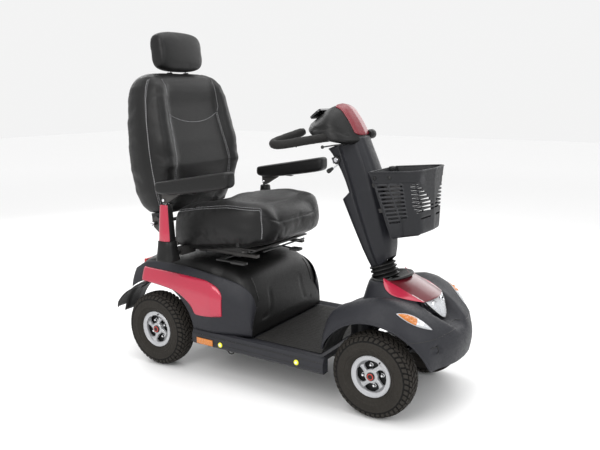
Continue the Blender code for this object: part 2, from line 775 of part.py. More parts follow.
def make_linkage():
    """Stub-axle knuckles and the track rod that joins them."""
    arm_z = 0.036
    for side_name, side in SIDES:
        pin = empty(f"knuckle_{side_name}_axis", (side * KINGPIN_X, FRONT_AXLE_Y, TYRE_R))
        joined(
            f"knuckle_{side_name}",
            [
                lambda m: cylinder(m, (0, 0, -0.0272), (0, 0, 0.0272), 0.0140, 20),
                lambda m: cylinder(m, (0, 0, -0.046), (0, 0, 0.062), 0.0070, 16),
                lambda m, side=side: cylinder(m, (side * 0.005, 0, 0), (side * 0.090, 0, 0), 0.0085, 16),
                lambda m, side=side: cylinder(m, (side * 0.010, 0, 0), (side * 0.030, 0, 0), 0.0150, 20),
                lambda m: rounded_box(
                    m, (-0.011, -0.012, 0.0425), (0.011, ARM_LENGTH + 0.010, 0.0505), 0.007
                ),
                lambda m: cylinder(m, (0, ARM_LENGTH, 0.030), (0, ARM_LENGTH, 0.048), 0.0050, 12),
            ],
            "steel",
            pin,
        )
        place = f"front_{side_name}"
        make_wheel(place, side, (side * FRONT_WHEEL_X, FRONT_AXLE_Y, TYRE_R), 0.0100)

    rod_y = FRONT_AXLE_Y + ARM_LENGTH
    rod_z = TYRE_R + arm_z
    rod = joined(
        "track_rod",
        [
            lambda m: cylinder(
                m, (-KINGPIN_X, rod_y, rod_z - 0.0035), (-KINGPIN_X, rod_y, rod_z + 0.0035), 0.0120, 16
            ),
            lambda m: cylinder(
                m, (KINGPIN_X, rod_y, rod_z - 0.0035), (KINGPIN_X, rod_y, rod_z + 0.0035), 0.0120, 16
            ),
            lambda m: box(
                m, (-KINGPIN_X, rod_y - 0.005, rod_z - 0.003), (KINGPIN_X, rod_y + 0.005, rod_z + 0.003)
            ),
            lambda m: cylinder(m, (0, rod_y, rod_z - 0.0036), (0, rod_y, rod_z + 0.0036), 0.0175, 20),
        ],
        "steel",
    )
    for x, radius in ((-KINGPIN_X, 0.0065), (KINGPIN_X, 0.0065), (0, 0.0120)):
        cut(
            rod,
            f"track_rod_eye_{x:+.2f}",
            lambda m, x=x, radius=radius: cylinder(
                m, (x, rod_y, rod_z - 0.02), (x, rod_y, rod_z + 0.02), radius, 16
            ),
        )


def make_rear_wheels():
    for side_name, side in SIDES:
        place = f"rear_{side_name}"
        make_wheel(place, side, (side * REAR_WHEEL_X, REAR_AXLE_Y, TYRE_R), 0.0080)
        inner = side * (0.066 - REAR_WHEEL_X)
        shaft = cutter(
            f"half_shaft_{side_name}",
            lambda m, inner=inner, side=side: cylinder(m, (inner, 0, 0), (side * 0.029, 0, 0), 0.0095, 16),
        )
        shaft.parent = bpy.data.objects[f"wheel_{place}_axis"]
        boolean(bpy.data.objects[f"rim_{place}"], shaft, "UNION")


# ---------------------------------------------------------------- tiller
COLUMN = [
    # z above the pivot, front y, rear y, half width; y is in the leaning column's own frame
    (0.030, -0.052, 0.046, 0.046),
    (0.060, -0.064, 0.050, 0.054),
    (0.120, -0.068, 0.058, 0.058),
    (0.200, -0.066, 0.070, 0.060),
    (0.272, -0.064, 0.082, 0.060),
    (0.284, -0.064, 0.052, 0.059),
    (0.330, -0.062, 0.052, 0.057),
    (0.400, -0.058, 0.054, 0.055),
    (0.460, -0.052, 0.060, 0.054),
    (0.490, -0.050, 0.066, 0.054),
]


def column_half(z, front, rear, half, facing, wall=0.003, count=10):
    """A C-shaped section of one half of the column cover, as outer points then inner ones."""
    depth = -front if facing < 0 else rear
    outer, inner = [], []
    for k in range(count + 1):
        a = pi * k / count
        x = half * power(cos(a), 0.62)
        y = facing * (0.0006 + depth * power(sin(a), 0.72))
        outer.append((x, y, z))
        shrink = (half - wall) / half
        inner.append((x * shrink, facing * (0.0006 + max(0, depth - wall) * power(sin(a), 0.72)), z))
    return [*outer, *reversed(inner)]


def make_tiller():
    lean = empty("tiller_axis", STEER_PIVOT, (-STEER_TILT, 0, 0))

    # Steel fork on the tilt pin, and the tube up to the console.
    joined(
        "tiller_tube",
        [
            lambda m: cylinder(m, (0, 0, 0.030), (0, 0, 0.500), 0.0170, 20),
            lambda m: box(m, (-0.021, -0.012, -0.011), (-0.0135, 0.012, 0.040)),
            lambda m: box(m, (0.0135, -0.012, -0.011), (0.021, 0.012, 0.040)),
            lambda m: box(m, (-0.021, -0.012, 0.024), (0.021, 0.012, 0.040)),
            lambda m: cylinder(m, (-0.020, 0, 0), (0.020, 0, 0), 0.0052, 14),
            lambda m: cylinder(m, (0, -0.070, 0.300), (0, -0.010, 0.300), 0.0065, 12),
            lambda m: box(m, (-0.030, -0.1090, 0.280), (0.030, -0.0665, 0.325)),
        ],
        "frame_paint",
        lean,
    )
    for name, facing in (("column_cover_front", -1), ("column_cover_rear", 1)):
        mesh = bmesh.new()
        loft(mesh, [column_half(*row, facing) for row in COLUMN])
        from_bmesh(name, mesh, "body_grey", lean, 40)
    rear = bpy.data.objects["column_cover_rear"]
    lever_hole = cutter("tilt_lever_hole", lambda m: box(m, (-0.024, 0.030, 0.406), (-0.008, 0.090, 0.446)))
    lever_hole.parent = lean
    boolean(rear, lever_hole)
    lock_hole = cutter(
        "ignition_hole", lambda m: cylinder(m, (-0.070, 0.026, 0.440), (-0.030, 0.026, 0.440), 0.0115, 20)
    )
    lock_hole.parent = lean
    boolean(rear, lock_hole)
    front = bpy.data.objects["column_cover_front"]
    cut(front, "drive_lever_slot", lambda m: box(m, (-0.090, -0.275, 0.9085), (0.090, -0.226, 0.9350)))
    bolt_slot = cutter(
        "basket_bolt_hole", lambda m: cylinder(m, (0, -0.10, 0.300), (0, -0.02, 0.300), 0.0075, 12)
    )
    bolt_slot.parent = lean
    boolean(front, bolt_slot)

    joined(
        "ignition_key",
        [
            lambda m: cylinder(m, (-0.0680, 0.026, 0.440), (-0.0400, 0.026, 0.440), 0.0078, 20),
            lambda m: box(m, (-0.0880, 0.0245, 0.4290), (-0.0670, 0.0275, 0.4510)),
        ],
        "chrome",
        lean,
    )

    # Release lever for the tilt: a thin stem with a moulded knob.
    lever = empty("tilt_lever_axis", (-0.016, 0.038, 0.425), (0, 0, 0), lean)
    joined(
        "tilt_lever",
        [
            lambda m: cylinder(m, (-0.006, 0, 0), (0.006, 0, 0), 0.0060, 12),
            lambda m: cylinder(m, (0, 0, 0), (0, 0.032, -0.0080), 0.0032, 10),
            lambda m: cylinder(m, (0, 0.028, -0.0070), (0, 0.055, -0.0135), 0.0060, 14, 0.0090),
        ],
        "body_black",
        lever,
    )
    make_console()
    make_basket()
    return lean


def handlebar_path():
    """Delta bar: through the console, out and back on each side, then in towards the rider's hands."""
    half = [
        (0.000, -0.218, 0.942),
        (0.055, -0.212, 0.942),
        (0.110, -0.178, 0.939),
        (0.165, -0.120, 0.930),
        (0.208, -0.073, 0.921),
        (0.229, -0.046, 0.917),
        (0.232, -0.022, 0.918),
        (0.212, -0.010, 0.923),
        (0.170, -0.018, 0.933),
        (0.125, -0.030, 0.944),
        (0.086, -0.040, 0.953),
    ]
    whole = [(-x, y, z) for x, y, z in reversed(half[1:])] + half
    return smooth_path(whole, 2)


def console_section(x, scale):
    """Side outline of the console at one x, in world coordinates."""
    centre = Vector((x, -0.190, 0.975))
    outline = [
        (-0.082, 0.9860),
        (-0.076, 0.9620),
        (-0.100, 0.9420),
        (-0.160, 0.9320),
        (-0.225, 0.9220),
        (-0.278, 0.9280),
        (-0.290, 0.9550),
        (-0.272, 1.0000),
        (-0.236, 1.0420),
        (-0.200, 1.0540),
        (-0.165, 1.0450),
        (-0.125, 1.0150),
    ]
    points = []
    for y, z in outline:
        dy = (y - centre.y) * (0.72 + 0.28 * scale)
        dz = (z - 0.935) * scale
        points.append((x, centre.y + dy, 0.935 + dz))
    return points


def make_console():
    """Head of the tiller: console, colour shell, panel with its controls, and the delta handlebar."""
    mesh = bmesh.new()
    stations = [(-0.118, 0.30), (-0.112, 0.52), (-0.095, 0.74), (-0.070, 0.90), (-0.040, 0.97), (0, 1.0)]
    stations += [(-x, s) for x, s in reversed(stations[:-1])]
    loft(mesh, [console_section(x, s) for x, s in stations])
    console = from_bmesh("console", mesh, "body_black", None, 40)
    cut(
        console,
        "console_socket",
        lambda m: cylinder(
            m, STEER_PIVOT + STEER_AXIS * 0.40, STEER_PIVOT + STEER_AXIS * 0.515, 0.064, 24
        ),
    )
    bar_path = handlebar_path()
    middle = len(bar_path) // 2
    cut(console, "bar_socket", lambda m: tube(m, bar_path[middle - 8 : middle + 9], 0.0161, 12))
    cut(console, "drive_lever_clearance", lambda m: box(m, (-0.150, -0.290, 0.8900), (0.150, -0.214, 0.9240)))

    rows = []
    for k in (6, 7, 8, 9, 10):
        row = []
        for step in range(9):
            x = -0.060 + 0.015 * step
            section = console_section(x, lerp_table(stations, x))
            _, y, z = section[k]
            _, y_next, z_next = section[(k + 1) % len(section)]
            _, y_last, z_last = section[k - 1]
            out = Vector((0, -(z_next - z_last), y_next - y_last)).normalized() * 0.0045
            row.append((x, y + out.y, z + out.z))
        rows.append(row)
    shell("console_trim", rows, "red_paint", 0.0022)

    # The rider's panel slopes down towards the seat. Its controls stand on it.
    panel = empty("panel_frame", (0, -0.1130, 1.0205), (radians(-38), 0, 0))
    mesh = bmesh.new()
    rounded_box(mesh, (-0.060, -0.026, -0.0040), (0.060, 0.026, 0.0030), 0.010)
    plate = from_bmesh("control_panel", mesh, "screen", panel)

    dial = empty("speed_dial_axis", (0, -0.004, 0.0034), (0, 0, 0), panel)
    mesh = bmesh.new()
    spun(mesh, [(0.0120, 0.0), (0.0120, 0.004), (0.0105, 0.0100), (0.0090, 0.0110)], 20, "Z")
    dial_body = from_bmesh("speed_dial", mesh, "body_grey", dial)
    mark = cutter("speed_dial_mark", lambda m: box(m, (-0.0008, 0.003, 0.0100), (0.0008, 0.0130, 0.0130)))
    mark.parent = dial
    boolean(dial_body, mark)

    for name, x, y in (
        ("indicator_button_right", -0.046, 0.010),
        ("indicator_button_left", 0.046, 0.010),
        ("horn_button", 0.030, -0.014),
    ):
        mesh = bmesh.new()
        rounded_box(mesh, (x - 0.007, y - 0.006, -0.0006), (x + 0.007, y + 0.006, 0.0058), 0.003, 2)
        from_bmesh(name, mesh, "body_grey", panel)
        well = cutter(
            f"{name}_well",
            lambda m, x=x, y=y: rounded_box(
                m, (x - 0.0076, y - 0.0066, -0.0028), (x + 0.0076, y + 0.0066, 0.010), 0.0034, 2
            ),
        )
        well.parent = panel
        boolean(plate, well)
    mesh_cut = cutter(
        "control_panel_seat", lambda m: box(m, (-0.0606, -0.0266, -0.0044), (0.0606, 0.0266, 0.0300))
    )
    mesh_cut.parent = panel
    boolean(console, mesh_cut)

    mesh = bmesh.new()
    tube(mesh, bar_path, 0.0155, 12)
    from_bmesh("handlebar", mesh, "foam_grip")

    # Finger paddle under the bar: pull one side for forward, the other for reverse.
    joined(
        "drive_lever",
        [
            lambda m: box(m, (-0.125, -0.256, 0.9140), (0.125, -0.244, 0.9200)),
            lambda m: cylinder(m, (-0.120, -0.250, 0.917), (-0.142, -0.198, 0.9090), 0.0040, 12, 0.0048),
            lambda m: cylinder(m, (0.120, -0.250, 0.917), (0.142, -0.198, 0.9090), 0.0040, 12, 0.0048),
        ],
        "body_black",
    )


def basket_ring(z, t, out=0.0):
    """Plan outline of the basket: flat at the column, bowed in front. t runs from the floor to the rim."""
    rear = -0.060 + 0.060 * t + out * 0.4
    corner = -0.155 - 0.029 * t
    front = -0.212 - 0.020 * t - out
    half_rear = 0.095 + 0.035 * t + out
    half_front = 0.126 + 0.030 * t + out
    right = [
        (0.0, rear),
        (half_rear * 0.9, rear),
        (half_rear, rear - 0.010),
        ((half_rear + half_front) / 2, (rear + corner) / 2),
        (half_front, corner + 0.015),
        (half_front * 0.985, corner - 0.012),
        (half_front * 0.88, corner - 0.028),
        (half_front * 0.55, front + 0.009),
        (0.0, front),
    ]
    left = [(-x, y) for x, y in right[1:-1]]
    return [(x, y, z) for x, y in [*right, *reversed(left)]]


def make_basket():
    """Moulded basket, open at the top, with rows of slots in its sides. It tips back a little."""
    hang = empty("basket_frame", BASKET_RIM, (-BASKET_TILT, 0, 0))
    depth = 0.222
    mesh = bmesh.new()
    outer = [basket_ring(-depth + depth * t, t) for t in (0.0, 0.5, 0.86, 1.0)]
    inner = [basket_ring(-depth + 0.004 + (depth - 0.004) * t, t, -0.003) for t in (1.0, 0.86, 0.5, 0.0)]
    loft(mesh, [*outer, *inner])
    basket = from_bmesh("basket", mesh, "body_black", hang, 30)

    def slots(cut_mesh):
        for row in range(5):
            z = -0.187 + 0.030 * row
            box(cut_mesh, (-0.20, -0.150, z), (0.20, -0.080, z + 0.013))
            box(cut_mesh, (-0.085, -0.260, z), (0.085, -0.195, z + 0.013))

    holes = cutter("basket_slots", slots)
    holes.parent = hang
    boolean(basket, holes)


# ---------------------------------------------------------------- seat
def make_seat():
    post = joined(
        "seat_post",
        [
            lambda m: cylinder(m, (0, SEAT_POST_Y, 0.3000), (0, SEAT_POST_Y, 0.4700), 0.0238, 24),
            lambda m: cylinder(m, (0, SEAT_POST_Y, 0.4640), (0, SEAT_POST_Y, 0.4700), 0.0600, 28),
        ],
        "steel",
    )
    cut(
        post,
        "seat_post_pin_bore",
        lambda m: cylinder(m, (0, SEAT_POST_Y, 0.455), (0, SEAT_POST_Y, 0.490), 0.0100, 20),
    )
    joined(
        "swivel_base",
        [
            lambda m: rounded_box(
                m, (-0.105, SEAT_POST_Y - 0.085, 0.4705), (0.105, SEAT_POST_Y + 0.085, 0.4765), 0.02
            ),
            lambda m: cylinder(m, (0, SEAT_POST_Y, 0.4600), (0, SEAT_POST_Y, 0.4740), 0.0092, 20),
            lambda m: box(m, (-0.150, SEAT_POST_Y - 0.055, 0.4712), (-0.100, SEAT_POST_Y - 0.025, 0.4762)),
            lambda m: box(m, (-0.172, 0.075, 0.4770), (-0.152, 0.395, 0.4880)),
            lambda m: box(m, (0.152, 0.075, 0.4770), (0.172, 0.395, 0.4880)),
            lambda m: box(m, (-0.172, 0.150, 0.4730), (0.172, 0.185, 0.4790)),
            lambda m: box(m, (-0.172, 0.325, 0.4730), (0.172, 0.360, 0.4790)),
        ],
        "frame_paint",
    )
    # Sheet-steel pan with the slide channels below and the backrest brackets behind.
    joined(
        "seat_frame",
        [
            lambda m: slab(
                m, [(0.020, 0.5225), (0.460, 0.4965), (0.460, 0.5040), (0.020, 0.5300)], -0.215, 0.215
            ),
            lambda m: slab(
                m, [(0.040, 0.4885), (0.430, 0.4885), (0.430, 0.5000), (0.040, 0.5250)], -0.178, -0.146
            ),
            lambda m: slab(
                m, [(0.040, 0.4885), (0.430, 0.4885), (0.430, 0.5000), (0.040, 0.5250)], 0.146, 0.178
            ),
            lambda m: box(m, (-0.262, 0.3705, 0.4700), (-0.180, 0.3975, 0.5035)),
            lambda m: box(m, (0.180, 0.3705, 0.4700), (0.262, 0.3975, 0.5035)),
            lambda m: slab(
                m,
                [
                    (0.420, 0.4965), (0.470, 0.4965), (0.560, 0.560), (0.560, 0.592), (0.532, 0.592),
                    (0.480, 0.5300),
                ],
                -0.215,
                -0.210,
            ),
            lambda m: slab(
                m,
                [
                    (0.420, 0.4965), (0.470, 0.4965), (0.560, 0.560), (0.560, 0.592), (0.532, 0.592),
                    (0.480, 0.5300),
                ],
                0.210,
                0.215,
            ),
        ],
        "frame_paint",
    )
    frame = bpy.data.objects["seat_frame"]
    cut(
        frame,
        "back_pivot_bore",
        lambda m: cylinder(
            m, (-0.30, BACK_PIVOT.y, BACK_PIVOT.z), (0.30, BACK_PIVOT.y, BACK_PIVOT.z), 0.0080, 16
        ),
    )
    for side_name, side in SIDES:
        cut(
            frame,
            f"armrest_tube_bore_{side_name}",
            lambda m, side=side: box(
                m, (side * 0.240 - 0.080, 0.3765, 0.4755), (side * 0.240 + 0.080, 0.3915, 0.4905)
            ),
        )

    make_cushion()
    make_backrest()
    make_armrests()

    lever = empty("swivel_lever_axis", (-0.140, SEAT_POST_Y - 0.0400, 0.4650))
    joined(
        "swivel_lever",
        [
            lambda m: box(m, (-0.092, -0.010, -0.002), (0.012, 0.010, 0.003)),
            lambda m: box(m, (-0.092, -0.0700, -0.002), (-0.076, 0.010, 0.003)),
            lambda m: rounded_box(m, (-0.098, -0.1300, -0.0038), (-0.070, -0.0600, 0.0035), 0.010),
        ],
        "body_black",
        lever,
    )
    slide = empty("slide_lever_axis", (0.0, 0.060, 0.5000))
    joined(
        "slide_lever",
        [
            lambda m: cylinder(m, (-0.1450, 0, 0), (0.1450, 0, 0), 0.0035, 10),
            lambda m: cylinder(m, (-0.020, 0.001, 0), (-0.020, -0.048, -0.004), 0.0032, 10),
            lambda m: rounded_box(m, (-0.040, -0.0880, -0.0090), (0.000, -0.0420, -0.0010), 0.010),
        ],
        "body_black",
        slide,
    )


def cushion_ring(t, half, front, rear):
    """Plan ring of the seat cushion."""
    ring = []
    for k in range(28):
        a = 2 * pi * k / 28
        x = half * power(cos(a), 0.42)
        y = (front + rear) / 2 + (rear - front) / 2 * power(sin(a), 0.42)
        ring.append((x, y, t))
    return ring


def make_cushion():
    mesh = bmesh.new()
    levels = [
        (0.5047, 0.205, 0.040, 0.440),
        (0.5200, 0.238, 0.008, 0.470),
        (0.5600, 0.250, -0.018, 0.486),
        (0.6100, 0.250, -0.022, 0.484),
        (0.6500, 0.238, -0.008, 0.470),
        (0.6720, 0.205, 0.030, 0.430),
    ]
    rings = []
    for z, half, front, rear in levels:
        ring = cushion_ring(z, half, front, rear)
        rings.append([(x, y, pz + SEAT_SLOPE * (0.460 - y)) for x, y, pz in ring])
    loft(mesh, rings)
    from_bmesh("seat_cushion", mesh, "vinyl", None, 40)


def make_backrest():
    lean = empty("backrest_axis", BACK_PIVOT, (-BACK_LEAN, 0, 0))
    mesh = bmesh.new()
    # height above the pivot, half width, front y, rear y
    levels = [
        (0.040, 0.165, -0.014, 0.060),
        (0.060, 0.195, -0.034, 0.082),
        (0.110, 0.230, -0.074, 0.094),
        (0.200, 0.252, -0.118, 0.096),
        (0.300, 0.254, -0.120, 0.092),
        (0.420, 0.246, -0.108, 0.084),
        (0.520, 0.230, -0.096, 0.074),
        (0.575, 0.208, -0.082, 0.062),
        (0.604, 0.172, -0.050, 0.042),
    ]
    rings = []
    for z, half, front, rear in levels:
        ring = []
        for k in range(24):
            a = 2 * pi * k / 24
            x = half * power(cos(a), 0.40)
            y = (front + rear) / 2 + (rear - front) / 2 * power(sin(a), 0.42)
            ring.append((x, y, z))
        rings.append(ring)
    loft(mesh, rings)
    back = from_bmesh("backrest_cushion", mesh, "vinyl", lean, 40)
    for side_name, side in SIDES:
        guide = cutter(
            f"headrest_guide_{side_name}",
            lambda m,
            side=side: cylinder(m, (side * 0.050, -0.020, 0.44), (side * 0.050, -0.020, 0.66), 0.0062, 14),
        )
        guide.parent = lean
        boolean(back, guide)

    joined(
        "backrest_hinge",
        [
            lambda m: cylinder(m, (-0.240, 0, 0), (0.240, 0, 0), 0.0074, 16),
            lambda m: box(m, (-0.2090, -0.014, -0.010), (-0.2030, 0.030, 0.0390)),
            lambda m: box(m, (0.2030, -0.014, -0.010), (0.2090, 0.030, 0.0390)),
            lambda m: box(m, (-0.2090, -0.010, 0.0300), (0.2090, 0.030, 0.0390)),
        ],
        "frame_paint",
        lean,
    )

    rest = bmesh.new()
    rings = []
    for x, s in (
        (-0.130, 0.50), (-0.125, 0.76), (-0.112, 0.92), (-0.08, 1.0), (0, 1.02), (0.08, 1.0), (0.112, 0.92),
        (0.125, 0.76), (0.130, 0.50),
    ):
        ring = []
        for k in range(16):
            a = 2 * pi * k / 16
            y = -0.030 + 0.045 * s * power(cos(a), 0.7)
            z = 0.6950 + 0.082 * (0.55 + 0.45 * s) * power(sin(a), 0.62)
            ring.append((x, y, z))
        rings.append(ring)
    loft(rest, rings)
    pad = from_bmesh("headrest", rest, "vinyl", lean, 40)
    for side_name, side in SIDES:
        rod = cutter(
            f"headrest_rod_{side_name}",
            lambda m,
            side=side: cylinder(m, (side * 0.050, -0.020, 0.460), (side * 0.050, -0.020, 0.66), 0.0055, 14),
        )
        rod.parent = lean
        boolean(pad, rod, "UNION")


def sleeve_body(mesh, x, stations):
    """Rounded moulding round an armrest upright: (height, half width, half depth) rows."""
    rings = []
    for z, half_x, half_y in stations:
        ring = []
        for k in range(20):
            a = 2 * pi * k / 20
            ring.append((x + half_x * power(cos(a), 0.8), 0.384 + half_y * power(sin(a), 0.8), z))
        rings.append(ring)
    loft(mesh, rings)


def make_armrests():
    for side_name, side in SIDES:
        x = side * ARMREST_X
        inner = side * 0.186
        # Square tube that slides in the seat frame, and the upright it carries.
        post = joined(
            f"armrest_post_{side_name}",
            [
                lambda m, x=x, inner=inner: box(
                    m, (min(inner, x), 0.3770, 0.4760), (max(inner, x), 0.3910, 0.4900)
                ),
                lambda m, x=x: box(m, (x - 0.010, 0.3750, 0.4760), (x + 0.010, 0.3930, 0.6830)),
                lambda m, x=x: box(m, (x - 0.004, 0.3750, 0.6800), (x + 0.004, 0.3950, 0.7080)),
                lambda m, x=x: sleeve_body(
                    m, x, ((0.4635, 0.040, 0.043), (0.4950, 0.034, 0.040), (0.5395, 0.030, 0.0335))
                ),
            ],
            "body_black",
        )
        cut(
            post,
            f"armrest_pivot_bore_{side_name}",
            lambda m, x=x: cylinder(
                m, (x - 0.02, ARM_PIVOT.y, ARM_PIVOT.z), (x + 0.02, ARM_PIVOT.y, ARM_PIVOT.z), 0.0045, 12
            ),
        )

        # Coloured sleeve round the upright.
        mesh = bmesh.new()
        sleeve_body(mesh, x, ((0.5400, 0.030, 0.0335), (0.6100, 0.026, 0.0285), (0.6800, 0.021, 0.0215)))
        sleeve = from_bmesh(f"armrest_sleeve_{side_name}", mesh, "red_paint", None, 40)
        cut(
            sleeve,
            f"armrest_sleeve_bore_{side_name}",
            lambda m, x=x: box(m, (x - 0.0104, 0.3746, 0.530), (x + 0.0104, 0.3934, 0.690)),
        )

        # Pad on its hinge bracket. The bracket's two cheeks straddle the post's tongue.
        arm = empty(f"armrest_{side_name}_axis", (x, ARM_PIVOT.y, ARM_PIVOT.z))
        mesh = bmesh.new()
        rings = []
        for along, half, top, low in (
            (0.030, 0.022, 0.062, 0.036),
            (0.024, 0.028, 0.068, 0.029),
            (0.010, 0.030, 0.071, 0.0215),
            (-0.150, 0.030, 0.0985, 0.0380),
            (-0.284, 0.030, 0.1220, 0.0610),
            (-0.310, 0.028, 0.1255, 0.0690),
            (-0.318, 0.022, 0.1190, 0.0810),
        ):
            ring = []
            for k in range(12):
                a = 2 * pi * (k + 0.5) / 12
                ring.append(
                    (
                        half * power(cos(a), 0.45),
                        along,
                        (top + low) / 2 + (top - low) / 2 * power(sin(a), 0.45),
                    ),
                )
            rings.append(ring)
        loft(mesh, rings)
        pad = from_bmesh(f"armrest_pad_{side_name}", mesh, "vinyl", arm, 40)
        for k, build in enumerate(
            (
                lambda m: slab(m, ARM_BRACKET, 0.0045, 0.0075),
                lambda m: slab(m, ARM_BRACKET, -0.0075, -0.0045),
                lambda m: cylinder(m, (-0.0110, 0, 0), (0.0110, 0, 0), 0.0040, 12),
            )
        ):
            piece = cutter(f"armrest_bracket_{side_name}_{k}", build)
            piece.parent = arm
            boolean(pad, piece, "UNION")


def make_freewheel_lever():
    """Lever at the rear that frees the motor brake for pushing."""
    pivot = empty("freewheel_axis", FREEWHEEL_PIVOT)
    joined(
        "freewheel_lever",
        [
            lambda m: cylinder(m, (-0.012, 0, 0), (0.012, 0, 0), 0.0090, 16),
            lambda m: box(m, (-0.003, 0.004, -0.004), (0.003, 0.055, 0.004)),
            lambda m: cylinder(m, (0, 0.052, 0), (0, 0.078, 0), 0.0085, 14),
        ],
        "red_paint",
        pivot,
    )


def main():
    clear_scene()
    make_chassis()
    make_floor()
    make_rear_body()
    make_front_body()
    make_steering()
    make_linkage()
    make_rear_wheels()
    make_tiller()
    make_seat()
    make_freewheel_lever()


main()
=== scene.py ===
"""Looks of the four-wheel mobility scooter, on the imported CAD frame.

Metres, +Z up. The scooter faces -Y, so its right side is -X.
"""

from math import cos, exp, pi, radians, sin, sqrt

import bmesh
import bpy
from mathutils import Euler, Matrix, Vector
from mathutils.bvhtree import BVHTree
from mathutils.kdtree import KDTree


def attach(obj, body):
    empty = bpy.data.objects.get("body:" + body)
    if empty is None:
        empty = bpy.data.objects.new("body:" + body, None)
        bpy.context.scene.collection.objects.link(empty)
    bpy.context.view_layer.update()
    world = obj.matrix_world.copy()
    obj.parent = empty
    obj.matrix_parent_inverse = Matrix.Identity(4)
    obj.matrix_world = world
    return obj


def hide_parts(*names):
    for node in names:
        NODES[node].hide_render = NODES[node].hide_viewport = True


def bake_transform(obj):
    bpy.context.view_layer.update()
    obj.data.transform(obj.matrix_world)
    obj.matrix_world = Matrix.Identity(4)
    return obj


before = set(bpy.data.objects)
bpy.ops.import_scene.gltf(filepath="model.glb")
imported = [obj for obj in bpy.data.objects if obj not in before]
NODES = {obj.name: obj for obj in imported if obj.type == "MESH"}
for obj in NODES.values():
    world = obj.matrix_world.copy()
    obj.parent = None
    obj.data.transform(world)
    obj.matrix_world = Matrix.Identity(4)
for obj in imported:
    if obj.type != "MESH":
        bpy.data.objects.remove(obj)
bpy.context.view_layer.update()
SIDES = (("right", -1), ("left", 1))

# ---- places, as in the CAD
AXLE_Z = 0.152
REAR_AXLE_Y = 0.495
FRONT_AXLE_Y = -0.455
STEER_TILT = radians(20)
STEER_PIVOT = Vector((0, -0.38, 0.452))
COLUMN_FRAME = Matrix.Translation(STEER_PIVOT) @ Matrix.Rotation(-STEER_TILT, 4, "X")
BACK_PIVOT = Vector((0, 0.545, 0.575))
BACK_FRAME = Matrix.Translation(BACK_PIVOT) @ Matrix.Rotation(-radians(7), 4, "X")
ARMREST_X = 0.327
ARM_PIVOT = Vector((0, 0.385, 0.698))
SEAT_POST_Y = 0.255


# ---- mesh helpers
def power(value, exponent):
    """Signed power, for superellipse outlines."""
    return abs(value) ** exponent * (1 if value >= 0 else -1)


def table(rows, t):
    """The value at t in (t, value) rows, straight between them."""
    if t <= rows[0][0]:
        return rows[0][1]
    for (t0, v0), (t1, v1) in zip(rows, rows[1:]):
        if t <= t1:
            return v0 + (v1 - v0) * (t - t0) / (t1 - t0)
    return rows[-1][1]


def ease(low, high, t):
    """0 below low, 1 above high, and smooth between."""
    s = min(1.0, max(0.0, (t - low) / (high - low)))
    return s * s * (3 - 2 * s)


def evenly(start, span, count):
    """count + 1 values, from start to start + span."""
    return [start + span * k / count for k in range(count + 1)]


def arcs(count, start=0.0):
    """count angles round a full turn."""
    return [start + 2 * pi * k / count for k in range(count)]


def added(name, data):
    """A new object in the scene."""
    made = bpy.data.objects.new(name, data)
    bpy.context.scene.collection.objects.link(made)
    return made


def settle(made, body, replaces=None):
    """Puts a piece on the body it rides on, and hides the CAD node it stands for."""
    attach(made, body)
    if replaces:
        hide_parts(replaces)


def piece(name, mesh, materials, body=None, replaces=None, smooth=38):
    """A bmesh as a named piece. One without a body gets its modifiers first and is settled afterwards."""
    bmesh.ops.recalc_face_normals(mesh, faces=mesh.faces)
    data = bpy.data.meshes.new(name)
    mesh.to_mesh(data)
    mesh.free()
    for look in materials if isinstance(materials, list) else [materials]:
        data.materials.append(look)
    made = added(name, data)
    data.shade_smooth()
    data.set_sharp_from_angle(angle=radians(smooth))
    if body:
        settle(made, body, replaces)
    return made


def skin(mesh, rows, wrap=False, caps=False, index=0, loop=False):
    """Skins rows of points. wrap closes each row, loop joins the last to the first, caps fills the ends."""
    lines = [[mesh.verts.new(p) for p in row] for row in rows]
    count = len(rows[0])
    pairs = list(zip(lines, lines[1:]))
    if loop:
        pairs.append((lines[-1], lines[0]))
    for low, high in pairs:
        for i in range(count if wrap else count - 1):
            j = (i + 1) % count
            mesh.faces.new((low[i], low[j], high[j], high[i])).material_index = index
    if caps:
        for line in (lines[0], lines[-1]):
            mesh.faces.new(line).material_index = index
    return lines


def solid(mesh, rows, index=0):
    """Skins closed rows and fills both ends."""
    skin(mesh, rows, wrap=True, caps=True, index=index)


def turned(mesh, profile, segments, index=0):
    """Turns a closed profile of (radius, along X) round the X axis."""
    rows = [[(along, r * cos(a), r * sin(a)) for r, along in profile] for a in arcs(segments)]
    skin(mesh, rows, wrap=True, loop=True, index=index)


def lathe(mesh, start, axis, profile, segments=24, index=0):
    """A turned, capped solid: (radius, along) rows from a start point along any axis."""
    start, axis = Vector(start), Vector(axis).normalized()
    turn = axis.to_track_quat("Z", "Y")
    rows = []
    for r, along in profile:
        middle = start + axis * along
        rows.append([middle + turn @ Vector((r * cos(a), r * sin(a), 0)) for a in arcs(segments)])
    solid(mesh, rows, index)


def side_plane(x):
    """Stands an outline of (y, z) points upright at x, with its depth along X."""
    return Matrix(((0, 0, 1, x), (1, 0, 0, 0), (0, 1, 0, 0), (0, 0, 0, 1)))


def prism(mesh, outline, depth, at, taper=0.0):
    """An outline in the XY plane of a matrix, pushed along its Z, with a small chamfer at the top."""
    count = len(outline)
    middle = Vector((sum(p[0] for p in outline) / count, sum(p[1] for p in outline) / count, 0))
    rows = []
    for z, shrink in ((0.0, 0.0), (depth * 0.8, 0.0), (depth, taper)):
        rise = Vector((0, 0, z))
        rows.append([at @ (middle.lerp(Vector((x, y, 0)), 1 - shrink) + rise) for x, y in outline])
    solid(mesh, rows)


